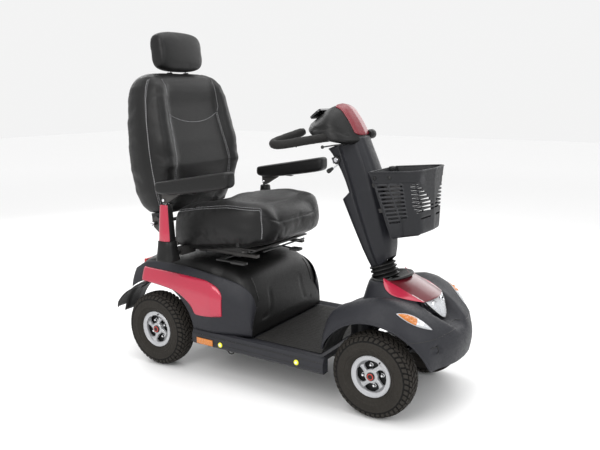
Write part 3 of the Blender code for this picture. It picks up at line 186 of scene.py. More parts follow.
def box_at(mesh, low, high, bevel=0.001, index=0, at=None):
    """A block with chamfered edges."""
    at = at or Matrix.Identity(4)
    low, high = Vector(low), Vector(high)
    found = bmesh.ops.create_cube(mesh, size=1.0)["verts"]
    for v in found:
        v.co = Vector([low[i] if v.co[i] < 0 else high[i] for i in range(3)])
    edges = {e for v in found for e in v.link_edges}
    faces = {f for v in found for f in v.link_faces}
    if bevel:
        made = bmesh.ops.bevel(mesh, geom=list(edges), offset=bevel, segments=2, affect="EDGES", profile=0.5)
        faces = {f for f in faces if f.is_valid} | set(made["faces"])
    verts = {v for f in faces for v in f.verts}
    for f in faces:
        f.material_index = index
    for v in verts:
        v.co = at @ v.co


DOME = (0.38, 0.7, 0.92, 0.995)


def sweep(mesh, points, radius, segments=14, index=0, rounded=False, flat=1.0):
    """A bar along a path. rounded closes its ends with a dome, and flat squeezes its height."""
    points = [Vector(p) for p in points]
    radii = [radius] * len(points)
    if rounded:
        for end, towards in ((0, 1), (-1, -2)):
            out = (points[end] - points[towards]).normalized()
            extra = [(points[end] + out * radius * s, radius * sqrt(1 - s * s)) for s in DOME]
            if end == 0:
                points = [p for p, _ in reversed(extra)] + points
                radii = [r for _, r in reversed(extra)] + radii
            else:
                points += [p for p, _ in extra]
                radii += [r for _, r in extra]
    rows = []
    up = Vector((0, 0, 1))
    for k, point in enumerate(points):
        ahead = (points[min(k + 1, len(points) - 1)] - points[max(k - 1, 0)]).normalized()
        across = ahead.cross(up)
        across = across.normalized() if across.length > 0.05 else Vector((1, 0, 0))
        upright = across.cross(ahead).normalized()
        rows.append([point + (across * cos(a) + upright * sin(a) * flat) * radii[k] for a in arcs(segments)])
    solid(mesh, rows, index)


def smooth_path(points, per_span=6):
    """A Catmull-Rom curve through the given points."""
    pts = [Vector(p) for p in points]
    pts = [pts[0] * 2 - pts[1], *pts, pts[-1] * 2 - pts[-2]]
    found = []
    for a, b, c, d in zip(pts, pts[1:], pts[2:], pts[3:]):
        for k in range(per_span):
            t = k / per_span
            square, cube = 2 * a - 5 * b + 4 * c - d, 3 * b - a - 3 * c + d
            found.append(0.5 * (2 * b + (c - a) * t + square * t**2 + cube * t**3))
    return [*found, pts[-2]]


def even(points, pitch):
    """The same path as points a pitch apart."""
    points = [Vector(p) for p in points]
    found, carry = [points[0].copy()], 0.0
    for a, b in zip(points, points[1:]):
        length = (b - a).length
        at = pitch - carry
        while at <= length:
            found.append(a.lerp(b, at / length))
            at += pitch
        carry = length - (at - pitch)
    return found


def mirrored(half):
    """Half a line from its middle out, made whole: its mirror image across X runs first."""
    return [Vector((-p.x, p.y, p.z)) for p in reversed(half[1:])] + half


def add_modifier(obj, kind, **values):
    made = obj.modifiers.new(kind.lower(), kind)
    for key, value in values.items():
        setattr(made, key, value)
    return made


def thicken(obj, thickness, offset=-1):
    add_modifier(obj, "SOLIDIFY", thickness=thickness, offset=offset)


def baked(obj):
    """Applies the object's modifiers to its mesh."""
    bpy.context.view_layer.update()
    done = bpy.data.meshes.new_from_object(obj.evaluated_get(bpy.context.evaluated_depsgraph_get()))
    obj.modifiers.clear()
    obj.data = done


def surface_of(obj):
    """The object's surface as a tree, to find or hit points on it."""
    bpy.context.view_layer.update()
    data = obj.evaluated_get(bpy.context.evaluated_depsgraph_get()).data
    points = [obj.matrix_world @ v.co for v in data.vertices]
    return BVHTree.FromPolygons(points, [p.vertices[:] for p in data.polygons])


def cast(tree, start, aim, missed=None):
    """Where a ray first meets a surface, or the missed point."""
    return tree.ray_cast(Vector(start), Vector(aim))[0] or missed


def groove(obj, paths, width, depth):
    """Presses seams into a padded piece along paths near its surface."""
    points = [p for path in paths for p in even(path, 0.002)]
    tree = KDTree(len(points))
    for k, p in enumerate(points):
        tree.insert(p, k)
    tree.balance()
    moves = []
    for v in obj.data.vertices:
        _, _, far = tree.find(v.co)
        if far < width * 3:
            moves.append((v, v.normal * -depth * exp(-((far / width) ** 2))))
    for v, move in moves:
        v.co += move
    obj.data.update()


STITCH_PITCH, STITCH_LENGTH, STITCH_R, STITCH_LIFT = 0.0075, 0.0056, 0.0009, 0.0004
STITCH_ROWS = ((-0.5, 0.35), (-0.38, 0.85), (0.0, 1.0), (0.38, 0.85), (0.5, 0.35))  # (along, thickness)


def stitches(name, surface, paths, body, thread):
    """Rows of thread on a surface, as short raised stitches along paths."""
    tree = surface_of(surface)
    mesh = bmesh.new()
    for path in paths:
        points = even(path, STITCH_PITCH)
        for a, b in zip(points, points[1:]):
            at, normal, _, _ = tree.find_nearest((a + b) / 2)
            if at is None:
                continue
            along = (b - a) - normal * (b - a).dot(normal)
            if along.length < 1e-5:
                continue
            along.normalize()
            across = normal.cross(along)
            rows = []
            for s, r in STITCH_ROWS:
                centre = at + along * (STITCH_LENGTH * s) + normal * (STITCH_LIFT * (1 - abs(s)))
                rows.append(
                    [centre + (across * cos(q) + normal * sin(q) * 0.8) * STITCH_R * r for q in arcs(6)]
                )
            solid(mesh, rows)
    piece(name, mesh, thread, body, smooth=80)


CLOTH_PRESSURE = 4.0
CLOTH_FRAMES = 20


def puffed(obj, voxel, cap, keep):
    """Fills a closed form like a stuffed cover: voxel remesh, cloth with pressure, applied and subdivided.

    keep is the share of the cloth's move that stays, and cap is the most that a point may move.
    """
    add_modifier(obj, "REMESH", mode="VOXEL", voxel_size=voxel, use_smooth_shade=True)
    baked(obj)
    rest = [v.co.copy() for v in obj.data.vertices]
    scene = bpy.context.scene
    cloth = add_modifier(obj, "CLOTH")
    cloth.settings.quality = 5
    cloth.settings.mass = 0.3
    cloth.settings.tension_stiffness = 15
    cloth.settings.compression_stiffness = 8
    cloth.settings.bending_stiffness = 2.0
    cloth.settings.use_pressure = True
    cloth.settings.uniform_pressure_force = CLOTH_PRESSURE
    cloth.settings.effector_weights.gravity = 0
    cloth.collision_settings.use_collision = False
    cloth.collision_settings.use_self_collision = False
    cloth.point_cache.frame_start = 1
    cloth.point_cache.frame_end = CLOTH_FRAMES
    for k in range(1, CLOTH_FRAMES + 1):
        scene.frame_set(k)
    baked(obj)
    scene.frame_set(1)
    for v, start in zip(obj.data.vertices, rest):
        move = (v.co - start) * keep
        if move.length > cap:
            move *= cap / move.length
        v.co = start + move
    mesh = bmesh.new()
    mesh.from_mesh(obj.data)
    for _ in range(3):
        axes = {"use_axis_x": True, "use_axis_y": True, "use_axis_z": True}
        bmesh.ops.smooth_vert(mesh, verts=mesh.verts, factor=0.5, **axes)
    mesh.to_mesh(obj.data)
    mesh.free()
    add_modifier(obj, "SUBSURF", levels=1, render_levels=1)
    baked(obj)
    obj.data.shade_smooth()


# ---- materials
def node(tree, kind, inputs=(), **settings):
    """A new shader node: its settings first, then its inputs as (name, value) rows."""
    made = tree.nodes.new(f"ShaderNode{kind}")
    for key, value in settings.items():
        setattr(made, key, value)
    for key, value in inputs:
        made.inputs[key].default_value = value
    return made


MOTTLE_SCALE, GLOSS_SCALE = 17.0, 120.0
EDGE_FROM, EDGE_TO = 0.52, 0.62  # pointiness where wear begins and is full
BUMP_STRENGTH = 0.6
DARK, DARK_SPECULAR = 0.05, 0.28  # colours below DARK reflect a little less
GRAINS = {
    "noise": ("TexNoise", "Fac", {}),
    "cells": ("TexVoronoi", "Distance", {"feature": "DISTANCE_TO_EDGE"}),
    "bands": ("TexWave", "Fac", {"bands_direction": "X"}),
}


def finish(name, colour, rough, metal=0.0, kind="noise", scale=900.0, depth=0.0002, mottle=0.1, spread=0.08,
           wear=0.0, wear_colour=(0.5, 0.5, 0.5), stretch=(1, 1, 1), **extra):
    """A node material: mottled colour, uneven roughness, a surface grain, and wear on edges."""
    made = bpy.data.materials.new(name)
    made.use_nodes = True
    tree = made.node_tree
    link = tree.links.new
    shader = tree.nodes["Principled BSDF"]
    where = node(tree, "TexCoord").outputs["Object"]
    mapped = node(tree, "Mapping", [("Scale", stretch)])
    link(where, mapped.inputs["Vector"])

    broad = node(tree, "TexNoise", [("Scale", MOTTLE_SCALE), ("Detail", 5.0)])
    link(where, broad.inputs["Vector"])
    dark, pale = [c * (1 - mottle) for c in colour], [min(1, c * (1 + mottle)) for c in colour]
    tint = node(tree, "Mix", data_type="RGBA")
    tint.inputs["A"].default_value = (*dark, 1)
    tint.inputs["B"].default_value = (*pale, 1)
    link(broad.outputs["Fac"], tint.inputs["Factor"])
    shade = tint.outputs["Result"]
    if wear:
        edge = node(tree, "NewGeometry")
        pick = node(tree, "MapRange", [("From Min", EDGE_FROM), ("From Max", EDGE_TO), ("To Max", wear)])
        link(edge.outputs["Pointiness"], pick.inputs["Value"])
        worn = node(tree, "Mix", data_type="RGBA")
        worn.inputs["B"].default_value = (*wear_colour, 1)
        link(pick.outputs["Result"], worn.inputs["Factor"])
        link(shade, worn.inputs["A"])
        shade = worn.outputs["Result"]
    link(shade, shader.inputs["Base Color"])

    fine = node(tree, "TexNoise", [("Scale", GLOSS_SCALE), ("Detail", 3.0)])
    link(where, fine.inputs["Vector"])
    low, high = max(0.02, rough - spread), min(1.0, rough + spread)
    gloss = node(tree, "MapRange", [("From Min", 0.3), ("From Max", 0.7), ("To Min", low), ("To Max", high)])
    link(fine.outputs["Fac"], gloss.inputs["Value"])
    link(gloss.outputs["Result"], shader.inputs["Roughness"])

    texture, height, settings = GRAINS[kind]
    grain = node(tree, texture, [("Scale", scale)], **settings)
    if kind == "noise":
        grain.inputs["Detail"].default_value = 2.0
    link(mapped.outputs["Vector"], grain.inputs["Vector"])
    bump = node(tree, "Bump", [("Strength", BUMP_STRENGTH), ("Distance", depth)])
    link(grain.outputs[height], bump.inputs["Height"])
    link(bump.outputs["Normal"], shader.inputs["Normal"])

    shader.inputs["Metallic"].default_value = metal
    if max(colour) < DARK:
        shader.inputs["Specular IOR Level"].default_value = DARK_SPECULAR
    for key, value in extra.items():
        shader.inputs[key.replace("_", " ").title()].default_value = value
    return made


PLASTIC_GREY = finish(
    "moulded_grey", (0.015, 0.0155, 0.0195), 0.5, scale=1500, depth=0.00025, wear=0.08,
    wear_colour=(0.06, 0.06, 0.065),
)
PLASTIC_BLACK = finish(
    "grained_black", (0.005, 0.0049, 0.0049), 0.42, kind="cells", scale=900, depth=0.0003, wear=0.06,
    wear_colour=(0.08, 0.08, 0.08),
)
COLUMN_GREY = finish(
    "column_grey", (0.011, 0.0115, 0.0145), 0.42, scale=1800, depth=0.0002, wear=0.1,
    wear_colour=(0.1, 0.1, 0.11),
)
BASKET_GREY = finish(
    "basket_grey", (0.012, 0.0125, 0.0145), 0.48, scale=1400, depth=0.0003, wear=0.15,
    wear_colour=(0.14, 0.14, 0.15),
)
RED = finish(
    "red_paint", (0.4, 0.01, 0.04), 0.32, metal=0.15, scale=60, depth=0.000004, mottle=0.05, spread=0.03,
    coat_weight=0.7, coat_roughness=0.08,
)
# A darker copy of the red paint, used as painted shade on the middle of the bonnet trim.
RED_PAINTED_SHADE = finish(
    "red_paint_painted_shade", (0.105, 0.003, 0.009), 0.34, metal=0.1, scale=60, depth=0.000004, mottle=0.06,
    spread=0.04, coat_weight=0.45, coat_roughness=0.14,
)
RED_VISOR = finish(
    "visor_gloss", (0.155, 0.006, 0.014), 0.36, scale=60, depth=0.000004, mottle=0.05, spread=0.03,
    coat_weight=0.18, coat_roughness=0.12,
)
# A darker copy of the tyre rubber, used as painted shade on the crown between the tread blocks.
RUBBER_PAINTED_SHADE = finish("tyre_groove_painted_shade", (0.005, 0.0046, 0.0042), 0.9, scale=420, depth=0.0003, mottle=0.2)
RUBBER = finish(
    "tyre_rubber", (0.0185, 0.016, 0.013), 0.78, scale=420, depth=0.0005, mottle=0.22, wear=0.2,
    wear_colour=(0.045, 0.04, 0.035),
)
ALLOY = finish(
    "alloy_silver", (0.4, 0.405, 0.42), 0.34, metal=0.35, scale=60, depth=0.000003, mottle=0.02, spread=0.02,
    coat_weight=0.4, coat_roughness=0.12,
)
# Near-black for the disk behind the spokes: painted shade in their gaps.
SPOKE_GAP_SHADE = finish("spoke_gap_painted_shade", (0.012, 0.012, 0.013), 0.6, metal=0.1, scale=500, depth=0.0002)
VINYL = finish(
    "leatherette", (0.0052, 0.0051, 0.0052), 0.4, kind="cells", scale=520, depth=0.00055, mottle=0.15,
    spread=0.07, sheen_weight=0.03, sheen_roughness=0.4,
)
THREAD = finish("thread", (0.3, 0.3, 0.31), 0.75, scale=2500, depth=0.0003, kind="bands")
FOAM = finish(
    "foam_grip", (0.0068, 0.0062, 0.0058), 0.72, kind="cells", scale=1300, depth=0.0004, mottle=0.25,
    sheen_weight=0.05,
)
GAITER = finish("gaiter_rubber", (0.01, 0.01, 0.01), 0.46, scale=600, depth=0.0002, mottle=0.2)
MAT = finish(
    "floor_mat", (0.011, 0.0105, 0.01), 0.68, kind="cells", scale=330, depth=0.0009, mottle=0.25, wear=0.2,
    wear_colour=(0.05, 0.048, 0.045),
)
STEEL = finish(
    "zinc_steel", (0.56, 0.57, 0.58), 0.33, metal=1.0, scale=700, depth=0.0001, stretch=(1, 1, 0.1), wear=0.3,
    wear_colour=(0.8, 0.8, 0.8),
)
CHROME = finish(
    "chrome", (0.8, 0.8, 0.82), 0.12, metal=1.0, scale=300, depth=0.00003, mottle=0.03, spread=0.04
)
FRAME_PAINT = finish(
    "frame_paint", (0.014, 0.014, 0.015), 0.46, metal=0.2, scale=1100, depth=0.0003, wear=0.25,
    wear_colour=(0.18, 0.17, 0.16),
)
SATIN_BLACK = finish(
    "satin_black", (0.01, 0.01, 0.01), 0.32, scale=1500, depth=0.0001, wear=0.15,
    wear_colour=(0.12, 0.12, 0.12),
)
LENS = finish(
    "clear_lens", (0.86, 0.88, 0.91), 0.08, kind="cells", scale=110, depth=0.0012, mottle=0.04, spread=0.03,
    transmission_weight=0.55, coat_weight=1.0,
)
REFLECTOR = finish(
    "lamp_reflector", (0.72, 0.73, 0.75), 0.16, metal=1.0, kind="cells", scale=75, depth=0.003, mottle=0.12
)
AMBER = finish(
    "amber_lens", (0.6, 0.175, 0.003), 0.16, kind="cells", scale=190, depth=0.0012, mottle=0.12,
    transmission_weight=0.25, coat_weight=1.0,
)
AMBER_REFLECTOR = finish(
    "amber_reflector", (0.5, 0.15, 0.003), 0.25, kind="cells", scale=420, depth=0.0009, mottle=0.1,
    coat_weight=0.8,
)
RED_LENS = finish(
    "red_lens", (0.45, 0.006, 0.008), 0.16, kind="cells", scale=300, depth=0.0009, mottle=0.1, coat_weight=0.8
)
YELLOW = finish("yellow_cap", (0.75, 0.72, 0.03), 0.45, scale=700, depth=0.0001)
WHITE_PLASTIC = finish("white_plastic", (0.75, 0.75, 0.74), 0.4, scale=700, depth=0.0001)
HUB_RED = finish("hub_ring", (0.42, 0.03, 0.02), 0.45, scale=700, depth=0.0001)
SCREEN = finish("panel_gloss", (0.012, 0.013, 0.014), 0.18, scale=300, depth=0.00005, coat_weight=0.6)
BUTTON = finish(
    "button_grey", (0.11, 0.11, 0.12), 0.5, scale=1500, depth=0.0002, wear=0.2, wear_colour=(0.3, 0.3, 0.3)
)
PRINT = finish("panel_print", (0.65, 0.66, 0.68), 0.5, scale=900, depth=0.00005)


# ---- camera, light and floor
FOCAL_MM, SENSOR_MM = 40.38, 36.0
CAMERA_AT = (-2.187, -1.398, 1.095)
CAMERA_TURN = Euler((radians(78.905), radians(0.13), radians(-57.66)))
BACKDROP_STRENGTH = 0.9
LIGHT_AIM = Vector((0, 0, 0.5))
LIGHTS = (  # name, place, side, watts, colour
    ("overhead", (0.2, -0.2, 3.4), 3.2, 62, (1, 1, 1)),
    ("key", (-2.6, -0.2, 2.3), 1.8, 44, (1.0, 0.99, 0.98)),
    ("front", (-0.6, -3.2, 2.0), 1.8, 26, (0.98, 0.99, 1.0)),
    ("rear", (1.2, 3.0, 2.2), 2.0, 30, (1, 1, 1)),
    ("left", (3.0, -0.3, 1.8), 2.0, 22, (1, 1, 1)),
)
FLOOR_REACH = 14
FLOOR_GLOW_FROM, FLOOR_GLOW_TO, FLOOR_GLOW = 1.5, 8.0, 0.145


def make_stage():
    scene = bpy.context.scene
    lens = bpy.data.cameras.new("camera")
    lens.lens = FOCAL_MM
    lens.sensor_width = SENSOR_MM
    camera = added("camera", lens)
    camera.location = CAMERA_AT
    camera.rotation_euler = CAMERA_TURN
    scene.camera = camera
    scene.view_settings.view_transform = "Standard"

    world = bpy.data.worlds.new("studio")
    world.use_nodes = True
    backdrop = world.node_tree.nodes["Background"]
    backdrop.inputs["Color"].default_value = (1.0, 1.0, 1.0, 1)
    backdrop.inputs["Strength"].default_value = BACKDROP_STRENGTH
    scene.world = world

    for name, place, size, watts, tint in LIGHTS:
        data = bpy.data.lights.new(name, "AREA")
        data.shape = "SQUARE"
        data.size = size
        data.energy = watts
        data.color = tint
        lamp = added(name, data)
        lamp.location = place
        lamp.rotation_euler = (LIGHT_AIM - Vector(place)).to_track_quat("-Z", "Y").to_euler()

    mesh = bmesh.new()
    skin(mesh, [[(x, y, 0.0) for x in (-FLOOR_REACH, FLOOR_REACH)] for y in (-FLOOR_REACH, FLOOR_REACH)])
    pale = finish("studio_floor", (0.86, 0.86, 0.86), 0.7, scale=30, depth=0.0001, mottle=0.01)
    # Far off, the floor brightens to meet the backdrop without a line.
    tree = pale.node_tree
    where = node(tree, "TexCoord")
    far = node(tree, "VectorMath", operation="LENGTH")
    rise = [("From Min", FLOOR_GLOW_FROM), ("From Max", FLOOR_GLOW_TO), ("To Max", FLOOR_GLOW)]
    lift = node(tree, "MapRange", rise)
    tree.links.new(where.outputs["Object"], far.inputs[0])
    tree.links.new(far.outputs["Value"], lift.inputs["Value"])
    shader = tree.nodes["Principled BSDF"]
    shader.inputs["Emission Color"].default_value = (1, 1, 1, 1)
    tree.links.new(lift.outputs["Result"], shader.inputs["Emission Strength"])
    piece("floor", mesh, pale)


make_stage()


# ---- wheels
TYRE_MIDDLE_R, TYRE_TALL, TYRE_HALF = 0.11, 0.037, 0.0448
TREAD_PITCHES = 44
TREAD_ROWS = ((0, 6.5, 0.0, 0.34), (18, 7.5, 0.5, 0.36), (36, 7.0, 0.0, 0.37), (60, 12.0, 0.5, 0.33))
BLOCK = ((-1, -1), (-1, 0.7), (-0.2, 1.1), (1, 1), (1, -0.7), (0.2, -1.1))  # a tread block's corners
WALL_RIBS = 40


def crown(theta, lift=0.0):
    """(radius, along) on the tyre: theta is 0 at the middle of the tread and 90 degrees at the sidewall."""

    def at(t):
        return TYRE_MIDDLE_R + TYRE_TALL * power(cos(t), 0.6), TYRE_HALF * power(sin(t), 0.9)

    r, x = at(theta)
    if lift:
        r1, x1 = at(theta + 0.02)
        r0, x0 = at(theta - 0.02)
        run, fall = x1 - x0, r1 - r0
        length = sqrt(fall**2 + run**2)
        r, x = r + lift * run / length, x - lift * fall / length
    return r, x


def tyre_mesh(mesh):
    """Sidewalls, a crown with tread blocks standing on it, and short ribs on the shoulders."""
    wall = [(0.106, 0.0451), (0.1, 0.0448), (0.0985, 0.0457), (0.0965, 0.0457), (0.095, 0.044)]
    wall += [
        (0.0885, 0.0415), (0.0875, 0.042), (0.086, 0.0415), (0.082, 0.0378), (0.078, 0.0345), (0.0745, 0.0315)
    ]
    over = [crown(radians(a)) for a in range(-88, 89, 8)]
    turned(mesh, [(0.072, -0.026)] + [(r, -x) for r, x in reversed(wall)] + over[:2], 72)
    # The crown between the blocks takes the darker rubber as painted shade.
    turned(mesh, over[1:-1], 72, index=1)
    turned(mesh, over[-2:] + wall + [(0.072, 0.026)], 72)

    step = 2 * pi / TREAD_PITCHES
    for middle, half, stagger, width in TREAD_ROWS:
        for mirror in (-1, 1) if middle else (1,):
            for k in range(TREAD_PITCHES):
                a = (k + stagger) * step
                corners = []
                for t, s in BLOCK:
                    theta = mirror * radians(middle + half * t)
                    skew = 0.18 * t * (1 if middle < 30 else -1)
                    corners.append((theta, a + (s * width + skew) * step))
                ends = []
                mean_t = sum(c[0] for c in corners) / len(BLOCK)
                mean_a = sum(c[1] for c in corners) / len(BLOCK)
                for lift, shrink in ((-0.001, 1.0), (0.0036, 0.95), (0.0044, 0.84)):
                    ring = []
                    for theta, angle in corners:
                        r, x = crown(mean_t + (theta - mean_t) * shrink, lift if middle < 50 else lift * 0.75)
                        q = mean_a + (angle - mean_a) * shrink
                        ring.append((x, r * cos(q), r * sin(q)))
                    ends.append(ring)
                solid(mesh, ends)
    for a in arcs(WALL_RIBS):
        q0, q1 = a - 0.022, a + 0.022
        for side in (-1, 1):
            rows = []
            for r, lift in ((0.1085, 0.0), (0.11, 0.0008), (0.1165, 0.0008), (0.118, 0.0)):
                x = side * (0.0447 + lift)
                rows.append([(x, r * cos(q), r * sin(q)) for q in (q0, (q0 + q1) / 2, q1)])
            skin(mesh, rows)


SPOKES = 4
# A spoke, from the hub out: (radius, half of its angle in degrees).
SPOKE = [
    (0.021, 27), (0.024, 21), (0.028, 15.5), (0.033, 12), (0.039, 10.5), (0.045, 10.5), (0.05, 12.5),
    (0.0535, 17), (0.0565, 25), (0.059, 36),
]
SPOKE_START = radians(20)
RIM_LOOKS = [ALLOY, SPOKE_GAP_SHADE, CHROME, SATIN_BLACK, HUB_RED]
VALVE = (0.026, 0.0648 * cos(2.0), 0.0648 * sin(2.0))


def rim_mesh(mesh, shaft):
    """Twisted spokes between a broad ring and a small hub. Materials: silver, painted shade for the dark disk
    behind the spokes, chrome, black, red.
    """
    ring = [
        (0.0742, 0.031), (0.074, 0.033), (0.0728, 0.0342), (0.0712, 0.034), (0.07, 0.0326), (0.064, 0.0318)
    ]
    ring += [(0.059, 0.0308), (0.057, 0.0296), (0.056, 0.027), (0.0565, 0.02), (0.064, 0.014), (0.068, 0.006)]
    ring += [(0.068, -0.029), (0.07, -0.0315), (0.0742, -0.0315)]
    turned(mesh, ring, 64)
    # A dark disk behind the spokes fills their gaps as painted shade.
    turned(mesh, [(0.0672, 0.01), (0.0672, 0.006), (0.009, 0.002), (0.009, 0.008), (0.03, 0.01)], 48, index=1)
    hub = [
        (0.0105, 0.012), (0.023, 0.012), (0.025, 0.023), (0.0248, 0.0285), (0.0225, 0.031), (0.015, 0.0318),
        (0.0105, 0.031),
    ]
    turned(mesh, hub, 48)

    for k in range(SPOKES):
        base = pi / 2 * k + SPOKE_START
        top, low = [], []
        for r, half in SPOKE:
            out = (r - SPOKE[0][0]) / (SPOKE[-1][0] - SPOKE[0][0])
            turn = base + radians(22) * out
            height = 0.0305 - 0.003 * sin(pi * out)
            row_top, row_low = [], []
            for t in (-1, -0.93, -0.75, -0.35, 0, 0.35, 0.75, 0.93, 1):
                a = turn + radians(half) * t
                edge = {1.0: 0.003, 0.93: 0.0012, 0.75: 0.0003}.get(abs(t), 0.0)
                ridge = 0.0016 * max(0.0, 1 - abs(t) * 2.4) * sin(pi * out)
                row_top.append((height - edge + ridge, r * cos(a), r * sin(a)))
                row_low.append((0.0185, r * cos(a), r * sin(a)))
            top.append(row_top)
            low.append(row_low)
        solid(mesh, [t + b[::-1] for t, b in zip(top, low)])

    # Wheel nuts between the spokes, the hub's cap with its red ring, and the valve.
    for k in range(SPOKES):
        a = pi / 2 * k + radians(20 + 54)
        at = Vector((0.008, 0.0365 * cos(a), 0.0365 * sin(a)))
        lathe(mesh, at, (1, 0, 0), [(0.0075, 0), (0.0075, 0.006), (0.0062, 0.0065)], 6, 2)
        lathe(
            mesh, at, (1, 0, 0), [(0.0055, 0.006), (0.0053, 0.011), (0.0038, 0.0138), (0.0012, 0.0148)], 16, 2
        )
    lathe(
        mesh, (0.024, 0, 0), (1, 0, 0), [(0.015, 0), (0.0152, 0.0085), (0.0146, 0.011), (0.0135, 0.0118)], 32,
        3,
    )
    turned(
        mesh, [(0.0082, 0.0345), (0.0118, 0.0345), (0.012, 0.0366), (0.0108, 0.0374), (0.0084, 0.0372)], 32,
        index=4,
    )
    lathe(
        mesh, (0.034, 0, 0), (1, 0, 0), [(0.008, 0), (0.008, 0.003), (0.0068, 0.0044), (0.003, 0.0046)], 24, 3
    )
    lathe(
        mesh, VALVE, (1, 0, 0),
        [(0.003, 0), (0.0028, 0.008), (0.0019, 0.009), (0.0019, 0.0125), (0.0012, 0.013)], 12, 3,
    )
    if shaft:
        lathe(mesh, (0.01, 0, 0), (-1, 0, 0), [(0.0095, 0), (0.0095, shaft)], 20, 2)


WHEELS = (  # name, side, distance from the middle, axle, shaft length, turn of the spokes in degrees
    ("front_right", -1, 0.223, FRONT_AXLE_Y, 0, 6),
    ("front_left", 1, 0.223, FRONT_AXLE_Y, 0, 31),
    ("rear_right", -1, 0.2615, REAR_AXLE_Y, 0.204, -14),
    ("rear_left", 1, 0.2615, REAR_AXLE_Y, 0.204, 50),
)


def make_wheels():
    for place, side, x, y, shaft, turn in WHEELS:
        at = Vector((side * x, y, AXLE_Z))
        body = f"wheel_{place}"
        spun = Matrix.Rotation(radians(turn), 4, "X")
        whole = Matrix.Translation(at) @ Matrix.Diagonal((side, 1, 1, 1)) @ spun
        mesh = bmesh.new()
        tyre_mesh(mesh)
        mesh.transform(whole)
        piece(f"tyre_{place}_tread", mesh, [RUBBER, RUBBER_PAINTED_SHADE], body, f"tyre_{place}", 30)
        mesh = bmesh.new()
        rim_mesh(mesh, shaft)
        mesh.transform(whole)
        piece(f"rim_{place}_alloy", mesh, RIM_LOOKS, body, f"rim_{place}", 34)


make_wheels()


# ---- seat
SEAM_WIDTH, SEAM_DEPTH = 0.0042, 0.0034
THREAD_SHIFTS = (-0.0045, 0.0045)
CUSHION_HALF = 0.246
CUSHION_MIDDLE_Y, CUSHION_REACH = 0.233, 0.247
# Height of the cushion's top from its middle, 0, to its rim, 1: towards a side, the front and the rear.
CUSHION_SIDE = [
    (0.0, 0.644), (0.3, 0.645), (0.45, 0.65), (0.6, 0.664), (0.72, 0.681), (0.82, 0.689), (0.9, 0.686),
    (0.955, 0.675), (0.985, 0.653), (1.0, 0.62),
]
CUSHION_FRONT = [
    (0.0, 0.644), (0.35, 0.652), (0.6, 0.664), (0.76, 0.671), (0.86, 0.666), (0.93, 0.652), (0.975, 0.632),
    (1.0, 0.6),
]
CUSHION_REAR = [
    (0.0, 0.644), (0.4, 0.646), (0.7, 0.642), (0.86, 0.634), (0.94, 0.622), (0.985, 0.602), (1.0, 0.585)
]
# What the top's sides rise or fall by at each y.
CUSHION_EDGE = [(-0.02, -0.006), (0.03, 0.0), (0.17, 0.004), (0.28, -0.008), (0.38, -0.028), (0.48, -0.05)]


def cushion_point(r, a, top=True):
    """A point on the cushion: r runs from its middle to its rim, a goes round it from the left side."""
    c, s = cos(a), sin(a)
    corner = 0.4 if s > 0 else 0.46
    x = CUSHION_HALF * r * power(c, corner)
    y = CUSHION_MIDDLE_Y + CUSHION_REACH * r * power(s, corner)
    if s < 0:
        y += 0.012 * (abs(x) / CUSHION_HALF) ** 4
    if not top:
        z = 0.499 + 0.0791 * (0.46 - y)
        return Vector((x, y, z + 0.012 * ease(0.86, 1.0, r)))
    side = ease(0.45, 0.92, abs(x) / (CUSHION_HALF * max(r, 0.05)))
    lengthwise = table(CUSHION_FRONT, r) if s < 0 else table(CUSHION_REAR, r)
    z = lengthwise + (table(CUSHION_SIDE, r) - lengthwise) * side
    z += table(CUSHION_EDGE, y) * side * ease(0.3, 0.9, r)
    return Vector((x, y, z))


def make_cushion():
    mesh = bmesh.new()
    turns = arcs(96)
    rows = [[cushion_point(r, a, False) for a in turns] for r in (0.06, 0.3, 0.55, 0.78, 0.88, 0.95, 0.985)]
    low, high = rows[-1], [cushion_point(1.0, a) for a in turns]
    for t in (0.15, 0.4, 0.7):
        rows.append([p.lerp(q, t) + Vector((q.x * 0.035, 0, 0)) * sin(pi * t) for p, q in zip(low, high)])
    top = (1.0, 0.985, 0.955, 0.92, 0.88, 0.83, 0.77, 0.7, 0.6, 0.5, 0.38, 0.22, 0.06)
    rows += [[cushion_point(r, a) for a in turns] for r in top]
    solid(mesh, rows)
    # The skirt hangs lower towards the back and is drawn up under the front edge.
    for v in mesh.verts:
        low = ease(0.57, 0.52, v.co.z)
        v.co.z += low * (0.01 * ease(0.1, 0.03, v.co.y) - 0.013 * ease(0.08, 0.3, v.co.y))
    cushion = piece("seat_cushion_cover", mesh, VINYL)
    puffed(cushion, 0.006, 0.01, keep=0.55)

    def edge(x_side, r, start, stop):
        """A line along the cushion's rim, between two angles on one side."""
        found = [cushion_point(r, radians(angle)) for angle in evenly(start, stop - start, 40)]
        return [Vector((p.x * x_side, p.y, p.z)) for p in found]

    seams, threads = [], []
    for side in (-1, 1):
        rim = edge(side, 0.95, 52, -47)
        corner = rim[-1]
        down = [(side * 0.004, -0.006, -0.035), (side * 0.003, -0.004, -0.08), (-side * 0.004, 0.008, -0.112)]
        line = smooth_path([*rim[::4], *[corner + Vector(step) for step in down]], 5)
        seams.append(line)
        for shift in THREAD_SHIFTS:
            threads.append([p + Vector((-side * shift * 0.8, shift * 0.7, shift * 0.6)) for p in line])
        seams.append(edge(side, 0.6, 40, -44))
    front = [cushion_point(0.975, radians(angle)) for angle in evenly(-47, -86, 30)]
    seams.append([p + Vector((0, 0.004, -0.012)) for p in front])
    seams.append([cushion_point(0.62, radians(angle)) for angle in evenly(-48, -84, 30)])
    groove(cushion, seams, SEAM_WIDTH, SEAM_DEPTH)
    settle(cushion, "seat", "seat_cushion")
    stitches("seat_cushion_thread", cushion, threads, "seat", THREAD)

    mesh = bmesh.new()
    for x, y in ((-0.252, 0.1), (-0.25, 0.107)):
        box_at(mesh, (x - 0.0006, y - 0.0035, 0.533), (x + 0.0012, y + 0.0035, 0.552), 0.0004)
    piece("cushion_tag", mesh, VINYL, "seat")


